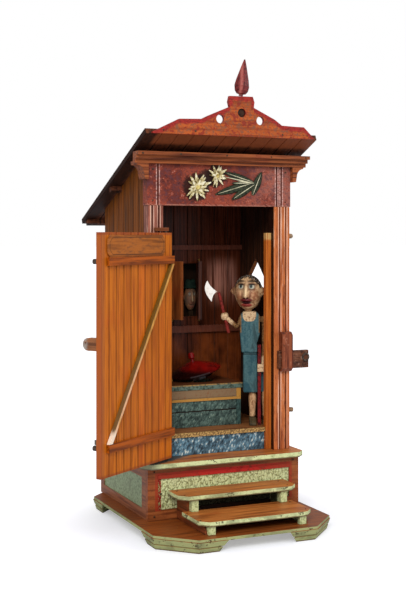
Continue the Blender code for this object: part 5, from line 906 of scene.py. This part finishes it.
def woodsman_face(x, up, front, side, deep):
    """Long nose, heavy brows, round eyes, full lips and big ears, cut with a knife; in millimetres."""
    def lump(across, level, wide, high, push):
        """A swelling, or with a push below 0 a hollow."""
        return bump_at(x, across, wide) * bump_at(up, level, high) * push

    def pair(across, *shape):
        """The same lump on both sides."""
        return lump(-across, *shape) + lump(across, *shape)

    ridge = ((-0.36, 0), (-0.27, 5.2), (-0.17, 6.4), (0.05, 4.2), (0.36, 2.4), (0.6, 0.2))
    nose = bump_at(x, 0, 0.15) * smooth_line(up, ridge)
    wings = pair(0.18, -0.2, 0.09, 0.09, 2.6)
    sockets = pair(0.4, 0.37, 0.22, 0.17, -2.4)
    balls = pair(0.4, 0.35, 0.14, 0.11, 2.2)
    brows = pair(0.4, 0.61, 0.26, 0.08, 1.8)
    cheeks = pair(0.55, -0.1, 0.22, 0.22, 1.4)
    upper_lip = lump(0, -0.42, 0.48, 0.08, 2.6)
    lower_lip = lump(0, -0.69, 0.38, 0.09, 2.6)
    slit = lump(0, -0.54, 0.34, 0.045, -2.2)
    chin = lump(0, -0.9, 0.3, 0.08, 1)
    lips = upper_lip + lower_lip + slit
    rim = bump_at(deep, -0.1, 0.24) * bump_at(up, 0.06, 0.2) * side ** 3
    hollow = bump_at(deep, 0, 0.1) * bump_at(up, 0.06, 0.11) * side ** 3
    push = (nose + wings + sockets + balls + brows + cheeks + lips + chin) * front
    return push * MM, (rim * 7.6 - hollow * 3.4) * MM


# Marks painted on both sides of a face: colour, place across, shift to one side, place up, half width,
# half height, softness and strength; places and sizes are shares of the head's half width and height
PUPIL_SHIFT = -0.03
BOTH_SIDES = (
    # Painted shade in the eye sockets
    ((84, 52, 38), 0.4, 0, 0.37, 0.3, 0.23, 0.5, 0.8),
    ((178, 104, 74), 0.56, 0, -0.12, 0.26, 0.22, 0.8, 0.34),
    ((188, 184, 162), 0.4, 0, 0.34, 0.18, 0.11, 0.35, 1),
    ((52, 72, 68), 0.38, PUPIL_SHIFT, 0.37, 0.11, 0.11, 0.35, 1),
    (NEAR_BLACK_AND_SHADE, 0.38, PUPIL_SHIFT, 0.37, 0.06, 0.06, 0.35, 1),
    (NEAR_BLACK_AND_SHADE, 0.4, 0, 0.475, 0.25, 0.035, 0.5, 1),
    (NEAR_BLACK_AND_SHADE, 0.4, 0, 0.66, 0.3, 0.055, 0.4, 0.9),
    # Painted shade beside the nose
    ((104, 58, 42), 0.3, 0, -0.1, 0.06, 0.2, 0.7, 0.75))
# Marks near the middle of the face: the same without the shift
MIDDLE_MARKS = (
    # Painted highlight down the nose
    ((230, 198, 152), 0, 0.04, 0.11, 0.36, 0.6, 1),
    ((56, 22, 16), -0.12, -0.285, 0.07, 0.045, 0.5, 1),
    ((56, 22, 16), 0.12, -0.285, 0.07, 0.045, 0.5, 1),
    ((40, 14, 12), 0, -0.35, 0.36, 0.055, 0.4, 0.85),
    ((96, 26, 26), 0, -0.42, 0.48, 0.105, 0.3, 1),
    ((142, 50, 42), 0, -0.69, 0.42, 0.105, 0.3, 1),
    ((50, 6, 8), 0, -0.545, 0.4, 0.095, 0.4, 1),
    # Painted shade under the chin
    ((104, 72, 50), 0, -0.97, 0.5, 0.08, 0.6, 0.7))


def face_coat(name, middle, turn, size, hair=True, pale=SKIN, strength=1):
    """Painted face: hair, brows, eyes, cheeks, lips and shaded ears, by place on the head."""
    coat = Coat(name)
    spin = (0, 0, turn)
    x, y, z = coat.parts(coat.place(middle, spin))
    u = x / (size[0] / 2)
    w = z / (size[2] / 2)
    front = y.rise(-size[1] * 0.1, -size[1] * 0.22)
    rub = coat.spots(300, 5, 0.65)
    broad = coat.spots(90, 3, 0.55)
    coat.start(pale, (132, 88, 56), (rub * 0.5 + broad * 0.5).rise(0.4, 0.6))

    def mark(tone, across, up, wide, high, soft, share):
        """Lays a soft oval on the face."""
        far = ((u - across) / wide) * ((u - across) / wide) + ((w - up) / high) * ((w - up) / high)
        oval = far.root().rise(1 + soft, 1 - soft) * front
        coat.lay(tone, oval * (share * strength))

    for hand in (-1, 1):
        for tone, across, shift, *rest in BOTH_SIDES:
            mark(tone, hand * across + shift, *rest)
    for marking in MIDDLE_MARKS:
        mark(*marking)
    ear = abs(u).rise(0.98, 1.06)
    coat.lay((140, 92, 62), ear * rub.rise(0.4, 0.55))
    if hair:
        strand = coat.spots((700, 260, 90), 4, 0.6, 0, middle, spin)
        curl = coat.cells(460, "F1", middle, spin)
        line = 0.84 - u * u * 0.62 + (strand - 0.5) * 0.6
        crown = (w - line).rise(-0.03, 0.05).most(y.rise(size[1] * 0.1, size[1] * 0.18) * w.rise(-0.5, -0.3))
        black = coat.mix((38, 30, 24), (164, 146, 132),
                         (strand * 0.45 + (1 - curl) * 0.55).rise(0.5, 0.66) * 0.85)
        coat.lay(black, crown * (1 - ear * w.rise(0.7, 0.5)))
    return coat.end(0.42 + rub * 0.2, rub + broad, 0.0004, 0.5, varnish=(0.15, 0.3))


FIGURE_TURN = -math.radians(24)
LOOK_TURN = FIGURE_TURN - math.radians(14)
HEAD_LOW, HEAD_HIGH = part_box("figure_head")
HEAD_SIZE = (0.0342, 0.029, HEAD_HIGH[2] - HEAD_LOW[2])
HEAD_MIDDLE = middle_of("figure_head") + Vector((0, 0.0012, 0.0012))


def turned(points, turn, middle):
    """Points of a piece, turned upright and moved to its place."""
    spin = Matrix.Rotation(turn, 3, "Z")
    return [spin @ Vector(p) + middle for p in points]


def swept(rings, sides=32):
    """Round solid about the upright axis from (radius, height) pairs; both ends are closed."""
    angles = [math.tau * i / sides for i in range(sides)]
    points = [(radius * math.cos(angle), radius * math.sin(angle), height)
              for radius, height in rings for angle in angles]
    return points, closed_faces(len(rings), sides)


def joined(*parts):
    """Several point-and-face lists as one."""
    points, faces = [], []
    for some_points, some_faces in parts:
        offset = len(points)
        points += [tuple(p) for p in some_points]
        faces += [tuple(i + offset for i in face) for face in some_faces]
    return points, faces


def woodsman_head():
    """The standing figure's head on its short neck."""
    skull = poles_joined(*carved_head(*HEAD_SIZE, woodsman_face))
    foot = HEAD_LOW[2] - HEAD_MIDDLE[2]
    neck = swept([(0.0042, foot), (0.0046, foot + 0.002), (0.0044, foot + 0.009)])
    points, faces = joined(skull, neck)
    made = piece("woodsman_head", turned(points, LOOK_TURN, HEAD_MIDDLE), faces,
                 face_coat("woodsman_face_paint", HEAD_MIDDLE, LOOK_TURN, HEAD_SIZE), "house")
    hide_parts("figure_head")


woodsman_head()

PEEPER_LOW, PEEPER_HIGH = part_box("peeper_head")
PEEPER_SIZE = (0.0165, 0.0135, 0.033)
PEEPER_MIDDLE = middle_of("peeper_head") + Vector((0, 0.0006, 0))
PEEPER_MIDDLE.z = PEEPER_LOW[2] + PEEPER_SIZE[2] / 2


def peeping_face(*places):
    """The same knife work at half the size."""
    push, out = woodsman_face(*places)
    return push * 0.42, out * 0.22


def peeping_head():
    """The head at the window, in a soft green hat."""
    skull = poles_joined(*carved_head(*PEEPER_SIZE, peeping_face, 72, 60))
    # The face is painted dim, with faint marks, as the shade inside the house
    made = piece("peeping_head", turned(skull[0], 0, PEEPER_MIDDLE), skull[1],
                 face_coat("peeper_face_paint", PEEPER_MIDDLE, 0, PEEPER_SIZE, hair=False,
                           pale=(98, 78, 62), strength=0.35), "peeper")
    foot = PEEPER_LOW[2] + 0.0292
    top = PEEPER_HIGH[2] - foot
    profile = [(0.005, 0.0006), (0.009, 0), (0.01, 0.001), (0.0099, 0.0018), (0.0086, 0.0021),
               (0.0079, 0.0034), (0.0076, 0.007), (0.007, 0.0104), (0.0054, 0.0128), (0.0026, top - 0.0004),
               (0.0004, top)]
    points, faces = swept(profile, 48)
    shaped = []
    for x, y, z in points:
        crease = math.exp(-(x / 0.0035) ** 2) * max(0, (z - 0.006) / 0.008)
        shaped.append((x * 0.97, y * 0.74, z * (1 - 0.22 * crease)))
    middle = Vector((PEEPER_MIDDLE[0], PEEPER_MIDDLE[1], foot))
    hat = piece("green_hat", turned(shaped, 0, middle), faces,
                plain_coat("green_felt", (26, 44, 34), (12, 22, 18), 700, 0.85, 0.0003, coated=0), "peeper")
    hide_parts("peeper_head")


peeping_head()

# Instances: petals, beads and nails, each set by one tree with named inputs

def spread_tree(name):
    """Sets one copy of a part on every point, turned to the point's stored angle and scale."""
    tree = bpy.data.node_groups.new(name, "GeometryNodeTree")
    for label, kind in (("Geometry", "Geometry"), ("Part", "Object"), ("Least scale", "Float"),
                        ("Most scale", "Float"), ("Sway", "Vector"), ("Seed", "Int"), ("Coat", "Material")):
        tree.interface.new_socket(label, in_out="INPUT", socket_type="NodeSocket" + kind)
    tree.interface.new_socket("Geometry", in_out="OUTPUT", socket_type="NodeSocketGeometry")
    given = tree.nodes.new("NodeGroupInput").outputs
    part = add_node(tree, "GeometryNodeObjectInfo", None, {"Object": given["Part"]}, "Geometry")
    angle = add_node(tree, "GeometryNodeInputNamedAttribute", {"data_type": "FLOAT_VECTOR"},
                     {"Name": "angle"}, "Attribute")
    back = add_node(tree, "ShaderNodeVectorMath", {"operation": "SCALE"}, {0: given["Sway"], "Scale": -1})
    sway = add_node(tree, "FunctionNodeRandomValue", {"data_type": "FLOAT_VECTOR"},
                    {"Min": back, "Max": given["Sway"], "Seed": given["Seed"]}, "Value")
    both = add_node(tree, "ShaderNodeVectorMath", {"operation": "ADD"}, {0: angle, 1: sway})
    size = add_node(tree, "FunctionNodeRandomValue", {"data_type": "FLOAT"},
                    {2: given["Least scale"], 3: given["Most scale"], "Seed": given["Seed"]}, 1)
    copies = add_node(tree, "GeometryNodeInstanceOnPoints", None,
                      {"Points": given["Geometry"], "Instance": part, "Rotation": both, "Scale": size})
    real = add_node(tree, "GeometryNodeRealizeInstances", None, {0: copies})
    coated = add_node(tree, "GeometryNodeSetMaterial", None, {"Geometry": real, "Material": given["Coat"]})
    plug(tree, tree.nodes.new("NodeGroupOutput"), {0: coated})
    return tree


SPREAD = spread_tree("spread_on_points")


def spread(name, part, places, material, least, most, sway, seed, slot):
    """Sets a part on places, given as (point, angle) pairs, and keeps the result as one mesh."""
    mesh = bpy.data.meshes.new(name)
    mesh.from_pydata([tuple(point) for point, angle in places], [], [])
    angles = mesh.attributes.new("angle", "FLOAT_VECTOR", "POINT")
    for i, (point, angle) in enumerate(places):
        angles.data[i].vector = angle
    host = link(bpy.data.objects.new(name + "_points", mesh))
    change = host.modifiers.new("spread", "NODES")
    change.node_group = SPREAD
    values = {"Part": part, "Least scale": least, "Most scale": most, "Sway": sway, "Seed": seed,
              "Coat": material}
    for item in SPREAD.interface.items_tree:
        if item.in_out == "INPUT" and item.name in values:
            change[item.identifier] = values[item.name]
    bpy.context.view_layer.update()
    seen = host.evaluated_get(bpy.context.evaluated_depsgraph_get())
    plain = bpy.data.meshes.new_from_object(seen)
    plain.name = name
    bpy.data.objects.remove(host, do_unlink=True)
    made = link(bpy.data.objects.new(name, plain))
    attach(made, "house")
    return made


def blade_of(length, width, thick, lift, rows=14, columns=8, tip=0):
    """A leaf or petal along +X: crowned above, closed below, pinched to its tip and curled up."""
    points = []
    for row in range(rows + 1):
        along = row / rows
        wide = width / 2 * max(math.sin(math.pi * min(along * 0.92 + 0.06, 1)) ** 0.75, tip + 0.02)
        full = thick / 2 * (0.35 + 0.65 * math.sin(math.pi * min(along + 0.05, 1)))
        for column in range(columns):
            turn = math.tau * column / columns
            across, up = math.cos(turn) * wide, math.sin(turn) * full
            vein = thick * 0.35 * math.exp(-(across / (wide * 0.25 + 1e-6)) ** 2) if math.sin(turn) > 0 else 0
            points.append((along * length, across, up - vein + lift * along * along))
    return points, closed_faces(rows + 1, columns)


def ball(radius, flat=1, sides=12, rings=8):
    """A small round bead, flattened along Z."""
    profile = [(radius * math.sin(math.pi * i / rings), -radius * flat * math.cos(math.pi * i / rings))
               for i in range(1, rings)]
    return swept(profile, sides)


def petal_coat():
    """Woolly white petals, yellow in places, with brown patches of painted shade."""
    coat = Coat("petal_paint")
    fluff = coat.spots(900, 4, 0.7)
    broad = coat.spots(210, 3, 0.6)
    coat.start((240, 234, 204), (180, 160, 98), (fluff * 0.4 + broad * 0.6).rise(0.38, 0.56))
    # Brown patches of painted shade
    coat.lay((66, 50, 24), (broad * 0.6 + fluff * 0.4).rise(0.51, 0.6) * 0.9)
    return coat.end(0.6, fluff, 0.0003, 0.7)


def leaf_coat():
    """Dark green leaves with pale rubbed veins."""
    coat = Coat("leaf_paint")
    fine = coat.spots(500, 4, 0.65)
    broad = coat.spots(120, 3, 0.6)
    coat.start((52, 58, 40), (22, 26, 20), fine.rise(0.42, 0.62))
    coat.lay((164, 162, 132), (fine * 0.4 + broad * 0.6).rise(0.57, 0.66) * 0.7)
    return coat.end(0.5, fine, 0.0003, 0.6)


PETAL = petal_coat()
LEAF = leaf_coat()
STEM = plain_coat("stem_paint", (206, 200, 168), (120, 116, 88), 500, 0.55)
HEART = plain_coat("flower_heart_paint", (226, 208, 132), (130, 104, 44), 700, 0.55)
SPRIG_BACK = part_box("sprig")[1][1]
FRONT_TURN = (math.pi / 2, 0, 0)      # turns a copy's upper side towards the front


def on_lintel(x, z, out):
    """A place on the lintel's face, out by some millimetres."""
    return Vector((HOUSE.x + x * MM, SPRIG_BACK - out * MM, z * MM))


def lain_blade(base, angle, *shape):
    """A petal-like blade that lies flat on the lintel from a base, in the direction of an angle."""
    points, faces = blade_of(*shape)
    put = Matrix.Translation(base) @ Matrix.Rotation(-angle, 4, "Y") @ Matrix.Rotation(math.pi / 2, 4, "X")
    return [put @ Vector(point) for point in points], faces


def petals():
    """Two flowers of many narrow petals round beaded hearts."""
    long_petal = pattern("petal_long", *blade_of(0.0172, 0.0042, 0.0015, 0.001, tip=0.34), PETAL)
    short_petal = pattern("petal_short", *blade_of(0.0112, 0.0038, 0.0015, 0.0026, tip=0.34), PETAL)
    bead = pattern("heart_bead", *ball(0.0011, 0.8), HEART)
    small = 0.78
    long_places, short_places, beads = [], [], []
    # each flower: place, size, number of long petals and the first one's angle
    for x, z, size, count, first in ((-31.5, 407.2, 1, 13, 0.2), (-5.1, 421.5, small, 12, 0.45)):
        for layer, places, number, out in ((0, long_places, count, 0.75), (1, short_places, count - 3, 1.5)):
            for i in range(number):
                angle = math.tau * (i + 0.5 * layer) / number + first
                places.append((on_lintel(x, z, out), (math.pi / 2, -angle, 0), size))
        for ring, number, out in ((0, 1, 2.5), (1.9, 6, 2.2)):
            for i in range(number):
                angle = math.tau * i / number + first
                across, up = ring * size * math.cos(angle), ring * size * math.sin(angle)
                beads.append((on_lintel(x + across, z + up, out), FRONT_TURN))
    for label, part, places in (("long", long_petal, long_places), ("short", short_petal, short_places)):
        for size, ending in ((1, "_large"), (small, "_small")):
            some = [(point, angle) for point, angle, flower in places if flower == size]
            spread("edelweiss_" + label + "_petals" + ending, part, some, PETAL,
                               size * 0.74, size * 1.08, (0.45, 0.34, 0.3), 3, "cream_paint")
    spread("edelweiss_hearts", bead, beads, HEART, 0.8, 1.15, (0.3, 0.3, 0.3), 5, "cream_paint")
    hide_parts("sprig")


def leaves():
    """Five leaves tied at a knot, each with a pale vein, and the two stems."""
    # from the knot to the tip, across and up, and the width, in millimetres
    rows = ((43, 415, 4, 426, 8.2), (41, 413.5, -8, 399, 9.6), (45, 412, 14, 393, 9.6),
            (42.5, 399, 54.5, 427.5, 10.5), (44, 414, 14, 413, 5))
    green, pale = [], []
    for i, (x1, z1, x2, z2, width) in enumerate(rows):
        length = math.hypot(x2 - x1, z2 - z1) * MM
        angle = math.atan2(z2 - z1, x2 - x1)
        leaf_base, vein_base = (on_lintel(x1, z1, out + 0.08 * i) for out in (0.75, 1.25))
        green.append(lain_blade(leaf_base, angle, length, width * MM, 0.0011, 0.0004))
        pale.append(lain_blade(vein_base, angle, length * 0.93, 0.0011, 0.0008, 0.0004))
    for x, z in ((2, 421), (22, 416)):
        start, end = on_lintel(44, 413.5, 1.6), on_lintel(x, z, 1.6)
        angle = math.atan2(end.z - start.z, end.x - start.x)
        pale.append(lain_blade(start, angle, (end - start).length, 0.0013, 0.001, 0))
    piece("edelweiss_leaves", *joined(*green), LEAF, "house")
    piece("edelweiss_veins", *joined(*pale), STEM, "house")


petals()
leaves()

# Nails and pegs

NAIL = plain_coat("nail_iron", (76, 60, 46), (36, 26, 20), 700, 0.5, 0.0002, 0.6)
PEG = plain_coat("peg_wood", (150, 122, 92), (84, 60, 40), 420, 0.6, 0.0003)
nail_head = pattern("nail_head", *swept([(0.0009, -0.0004), (0.0012, 0), (0.0012, 0.0002), (0.0009, 0.00045),
                                         (0.0003, 0.00055)], 12), NAIL)
peg_head = pattern("peg_head", *swept([(0.0026, -0.0006), (0.003, 0), (0.0031, 0.0052), (0.0027, 0.0068),
                                       (0.0012, 0.0074)], 14), PEG)


def nails():
    """Nails in the frame and the steps, and the pegs on the posts' sides."""
    places = [(x, -13.9, z) for x in (-92, 92) for z in (20.5, 72.8)]
    places += [(x, -18, 445.2) for x in (-108, -60, 0, 60, 108)]
    places += [(x, -42.3, 470.5) for x in (-92, -52, 62, 96)]
    places += [(x, 0, z) for x in (-88.5, 88.5) for z in (391, 428)]
    places += [(x, -11.8, 46) for x in (-83, 83)]
    frame_nails = [(at(*place), FRONT_TURN) for place in places]
    spread("frame_nails", nail_head, frame_nails, NAIL, 0.75, 1.1, (0.1, 0.1, 0.5), 11, "steel")
    steps = [(at(x, y, z), ORIGIN) for x in (-67, 67)
             for y, z in ((-90, 31), (-52, 31), (-45, 50), (-22, 50))]
    spread("step_nails", nail_head, steps, NAIL, 0.75, 1.05, (0.1, 0.1, 0.5), 13, "steel")
    pegs = [(at(hand * 94.5, 4.5, z), (0, hand * math.pi / 2, 0)) for hand in (1, -1) for z in (132, 349)]
    spread("post_pegs", peg_head, pegs, PEG, 0.9, 1.05, (0.05, 0.05, 0.4), 17, "pale_wood")


nails()


def crest_dowel():
    """Dark end of a dowel, sunk in the middle hole of the crest board."""
    points, faces = swept([(0.0044, -0.0015), (0.005, -0.001), (0.005, 0.0006), (0.0042, 0.0012),
                           (0.0016, 0.0014)], 24)
    lay = Matrix.Rotation(math.pi / 2, 3, "X")
    middle = Vector((HOUSE.x + 0.0077, (CREST_LOW[1] + CREST_HIGH[1]) / 2, CREST_LOW[2] + 0.0279))
    made = piece("crest_dowel", [lay @ Vector(p) + middle for p in points], faces,
                 plain_coat("burnt_dowel", (58, 34, 20), (26, 14, 10), 500, 0.6, 0.0003), "house")


crest_dowel()

# Finishes of the figure

def cloth(coat, tones, stretch, bend):
    """The colour of painted cloth, its soft folds and the grain of its paint."""
    light, main, dark = tones
    folds = coat.spots(stretch, 3, 0.5, bend, turn=(0, 0, FIGURE_TURN))
    fine = coat.spots(420, 5, 0.7)
    colour = coat.mix(light, main, (folds * 0.5 + fine * 0.5).rise(0.4, 0.62))
    return coat.mix(colour, dark, folds.rise(0.6, 0.72) * 0.6), folds, fine


def torso_coat():
    """Blue-grey bib over a bare neck; the shoulders are brown sleeves."""
    coat = Coat("bib_paint")
    bib, folds, fine = cloth(coat, ((42, 76, 84), (76, 108, 110), (22, 38, 42)), (90, 90, 30), 0.6)
    x, y, z = coat.parts(coat.place(at(57.2, 36, 0), (0, 0, FIGURE_TURN)))
    sag = abs(x + 0.0008) / 0.0085
    neck = (z - sag * sag * sag * sag * 0.006).rise(0.241, 0.242)
    skin = coat.mix((206, 176, 136), (124, 84, 58), fine.rise(0.48, 0.64))
    strap = abs(abs(x + 0.0008) - 0.0098).rise(0.0017, 0.0011)
    coat.start(bib, skin, neck * strap.rise(0.9, 0.2))
    sleeve = abs(x).rise(0.0106, 0.0112) * z.rise(0.226, 0.229)
    coat.lay(coat.mix((150, 112, 70), (76, 54, 34), fine.rise(0.42, 0.64)), sleeve)
    return coat.end(0.6, folds + fine * 0.4, 0.0005, 0.6)


dress("figure_torso", torso_coat())


def trouser_coat():
    """Blue-grey trousers with creases; bare pale legs below them."""
    coat = Coat("trouser_cloth_paint")
    wool, folds, fine = cloth(coat, ((40, 74, 82), (72, 104, 106), (20, 36, 40)), (110, 110, 34), 0.7)
    z = coat.spot[2]
    wool = coat.mix(wool, (28, 42, 44), abs(z - 0.2005).rise(0.001, 0.0004))
    leg = coat.mix((206, 168, 128), (140, 98, 66), (fine * 0.6 + folds * 0.4).rise(0.46, 0.62))
    coat.start(leg, wool, z.rise(0.1512, 0.1522))
    return coat.end(0.6, folds + fine * 0.4, 0.0005, 0.6)


dress("figure_trousers", trouser_coat())


def calf_coat():
    """Pale carved shins, browned where hands have touched them."""
    coat = Coat("shin_paint")
    fine = coat.spots((360, 360, 200), 5, 0.7)
    broad = coat.spots((90, 90, 60), 3, 0.6)
    coat.start((214, 172, 128), (140, 96, 62), (fine * 0.5 + broad * 0.5).rise(0.44, 0.6))
    coat.lay((70, 52, 34), coat.spot[2].rise(0.1225, 0.1205) * 0.8)
    return coat.end(0.5, fine, 0.0004, 0.5)


# Each shin: radius and share of its height
SHIN_RINGS = ((0.0037, 0), (0.004, 0.05), (0.0039, 0.18), (0.0043, 0.36), (0.005, 0.58), (0.0052, 0.74),
              (0.0049, 0.9), (0.0046, 1))


def calves():
    """Swelling shins over the thin pegs that carry the shoes."""
    coat = calf_coat()
    spin = Matrix.Rotation(FIGURE_TURN, 3, "Z")
    for name in ("shoe_left", "shoe_right"):
        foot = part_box(name)[1][2] + 0.0002
        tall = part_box("figure_trousers")[0][2] + 0.0325 - foot
        middle = middle_of(name) + spin @ Vector((0, 0.0055, 0))
        middle.z = 0
        points, faces = swept([(radius, foot + share * tall) for radius, share in SHIN_RINGS], 28)
        shaped = [(x * 0.96, y * (1 + 0.1 * math.sin(math.pi * (z - foot) / tall)), z) for x, y, z in points]
        made = piece(name.replace("shoe", "shin"), turned(shaped, FIGURE_TURN, middle), faces, coat, "house")


calves()
dress(("shoe_left", "shoe_right"),
      plain_coat("shoe_leather_paint", (82, 70, 48), (40, 34, 24), 320, 0.5, 0.0004))


def arm_coat(name, hand, reach):
    """Brown sleeve down to a pale carved hand."""
    coat = Coat(name)
    fine = coat.spots(380, 5, 0.7)
    far = coat.node("ShaderNodeVectorMath", {"operation": "LENGTH"}, {0: coat.place(hand)}, "Value")
    sleeve = coat.mix((150, 108, 66), (84, 58, 36), fine.rise(0.42, 0.62))
    skin = coat.mix((222, 188, 146), (150, 106, 74), fine.rise(0.48, 0.66))
    coat.start(skin, sleeve, far.rise(reach, reach + 0.003))
    return coat.end(0.55, fine, 0.0004, 0.6)


RIGHT_LOW, RIGHT_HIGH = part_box("right_arm")
LEFT_LOW, LEFT_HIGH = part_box("left_arm")
RIGHT_HAND = (RIGHT_LOW[0] + 0.005, RIGHT_HIGH[1] - 0.006, (RIGHT_LOW[2] + RIGHT_HIGH[2]) / 2)
LEFT_HAND = (LEFT_HIGH[0] - 0.008, LEFT_LOW[1] + 0.004, LEFT_LOW[2] + 0.005)
dress("right_arm", arm_coat("right_sleeve_paint", RIGHT_HAND, 0.0085))
dress("left_arm", arm_coat("left_sleeve_paint", LEFT_HAND, 0.013))
dress("axe_handle", crackled("axe_handle_paint", (84, 22, 16), (136, 42, 34), (190, 140, 124), 1.2, 0.25))


def blade_coat():
    """Whitened blade, dull towards its socket."""
    coat = Coat("axe_blade_paint")
    fine = coat.spots(420, 4, 0.65)
    broad = coat.spots(150, 3, 0.6)
    coat.start((255, 250, 240), (206, 190, 168), (fine * 0.4 + broad * 0.6).rise(0.52, 0.7))
    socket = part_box("axe_blade")[1][0]
    coat.lay((150, 110, 84), coat.spot[0].rise(socket - 0.0035, socket - 0.0005) * 0.8)
    return coat.end(0.35, fine, 0.0002, 0.4, varnish=(0.2, 0.2))


BLADE_TIPS = ((-4.5, 13.5), (1.1, -13.5))     # mm from the blade's middle, across and up
BLADE_SOCKET = (8.2, -0.6)
EDGE_PULL = (-13.1, 1.5)                      # the points that bend its three edges
HOLLOW_PULLS = ((-0.6, 4), (1.3, -3.4))


def bent(first, pull, last, steps):
    """Points along a bend from first to last, without the last one."""
    for i in range(steps):
        t = i / steps
        yield tuple(a * (1 - t) ** 2 + b * 2 * t * (1 - t) + c * t * t for a, b, c in zip(first, pull, last))


def honed_blade():
    """The axe's blade: hollow on both sides of its socket, thin along its edge."""
    rim = (list(bent(BLADE_TIPS[0], HOLLOW_PULLS[0], BLADE_SOCKET, 12))
           + list(bent(BLADE_SOCKET, HOLLOW_PULLS[1], BLADE_TIPS[1], 12))
           + list(bent(BLADE_TIPS[1], EDGE_PULL, BLADE_TIPS[0], 16)))
    points = []
    for side in (-1, 1):
        points += [(x, side * (0.3 + 0.65 * (x + 7.4) / 15.6), z) for x, z in rim]
        points.append((-1.2, side * 0.9, 0.3))
    count = len(rim)
    faces = []
    for i in range(count):
        after = (i + 1) % count
        faces.append((i, after, count))
        faces.append((count + 1 + after, count + 1 + i, 2 * count + 1))
        faces.append((i, count + 1 + i, count + 1 + after, after))
    made = piece("honed_blade", turned([Vector(p) * MM for p in points], FIGURE_TURN, middle_of("axe_blade")),
                 faces, blade_coat(), "right_arm_body", smooth=False)
    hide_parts("axe_blade")


honed_blade()

# Floor, light and camera

FLOOR_REACH = 40
FLOOR_GAP = 0.0002        # keeps the feet off the floor's own face
LAMPS_AIM = HOUSE + Vector((0, 0, 0.25))


def backdrop():
    """White floor that keeps the shadow; it glows less near the house, a painted shadow round the base."""
    mesh = bpy.data.meshes.new("studio_floor")
    solid = bmesh.new()
    bmesh.ops.create_grid(solid, x_segments=2, y_segments=2, size=FLOOR_REACH)
    solid.to_mesh(mesh)
    solid.free()
    coat = Coat("floor_paper")
    dust = coat.spots(3, 2, 0.5)
    coat.start((220, 222, 230), (216, 218, 226), dust)
    mesh.materials.append(coat.end(1, shine=0))
    glow = coat.node("ShaderNodeEmission", None, {"Color": (1, 0.985, 0.985, 1), "Strength": 0.74})
    none = coat.node("ShaderNodeEmission", None, {"Color": (0, 0, 0, 1), "Strength": 0})
    seen = coat.node("ShaderNodeLightPath", None, None, "Is Camera Ray")
    x, y, z = coat.spot
    # The floor glows less near the house: a painted shadow round the base
    past_painted_shadow = ((x - HOUSE.x) * (x - HOUSE.x) + (y - HOUSE.y) * (y - HOUSE.y)).root().rise(0.14, 0.28)
    light = coat.node("ShaderNodeMixShader", None, {0: seen * (0.5 + past_painted_shadow * 0.5), 1: none, 2: glow})
    whole = coat.node("ShaderNodeAddShader", None, {0: Wire(coat, coat.shader.outputs[0]), 1: light})
    plug(coat.tree, coat.tree.nodes["Material Output"], {"Surface": whole})
    floor = link(bpy.data.objects.new("studio_floor", mesh))
    floor.location = (0, 0, -FLOOR_GAP)


def lamp(name, place, size, power):
    """A round soft lamp, placed from the house and aimed at its middle."""
    place = HOUSE + Vector(place)
    data = bpy.data.lights.new(name, "AREA")
    data.shape = "DISK"
    data.size = size
    data.energy = power
    made = link(bpy.data.objects.new(name, data))
    made.location = place
    made.rotation_euler = (LAMPS_AIM - place).to_track_quat("-Z", "Y").to_euler()


def surround():
    """Even white light all round; the camera sees it as plain white."""
    world = bpy.data.worlds.new("studio_air")
    bpy.context.scene.world = world
    world.use_nodes = True
    tree = world.node_tree
    tree.nodes.clear()
    white = (1, 1, 1, 1)
    seen = add_node(tree, "ShaderNodeLightPath", None, None, "Is Camera Ray")
    soft = add_node(tree, "ShaderNodeBackground", None, {"Color": white, "Strength": 0.62})
    clear = add_node(tree, "ShaderNodeBackground", None, {"Color": white, "Strength": 1})
    blend = add_node(tree, "ShaderNodeMixShader", None, {0: seen, 1: soft, 2: clear})
    plug(tree, tree.nodes.new("ShaderNodeOutputWorld"), {0: blend})


backdrop()
surround()
lamp("key_lamp", (-0.9, -1.5, 1.25), 0.9, 25)
lamp("fill_lamp", (1.5, -1, 0.9), 1.2, 9)

view_data = bpy.data.cameras.new("viewpoint")
view_data.lens = 65.74
view_data.sensor_width = 36
view_data.sensor_fit = "AUTO"
view_data.shift_x = 0
view_data.shift_y = -0.1098
view = link(bpy.data.objects.new("viewpoint", view_data))
view.location = HOUSE + Vector((-0.5716, -1.225, 0.3464))
view.rotation_euler = Euler((math.radians(90), 0, math.radians(-24.1)))
bpy.context.scene.camera = view
bpy.context.scene.view_settings.view_transform = "Standard"
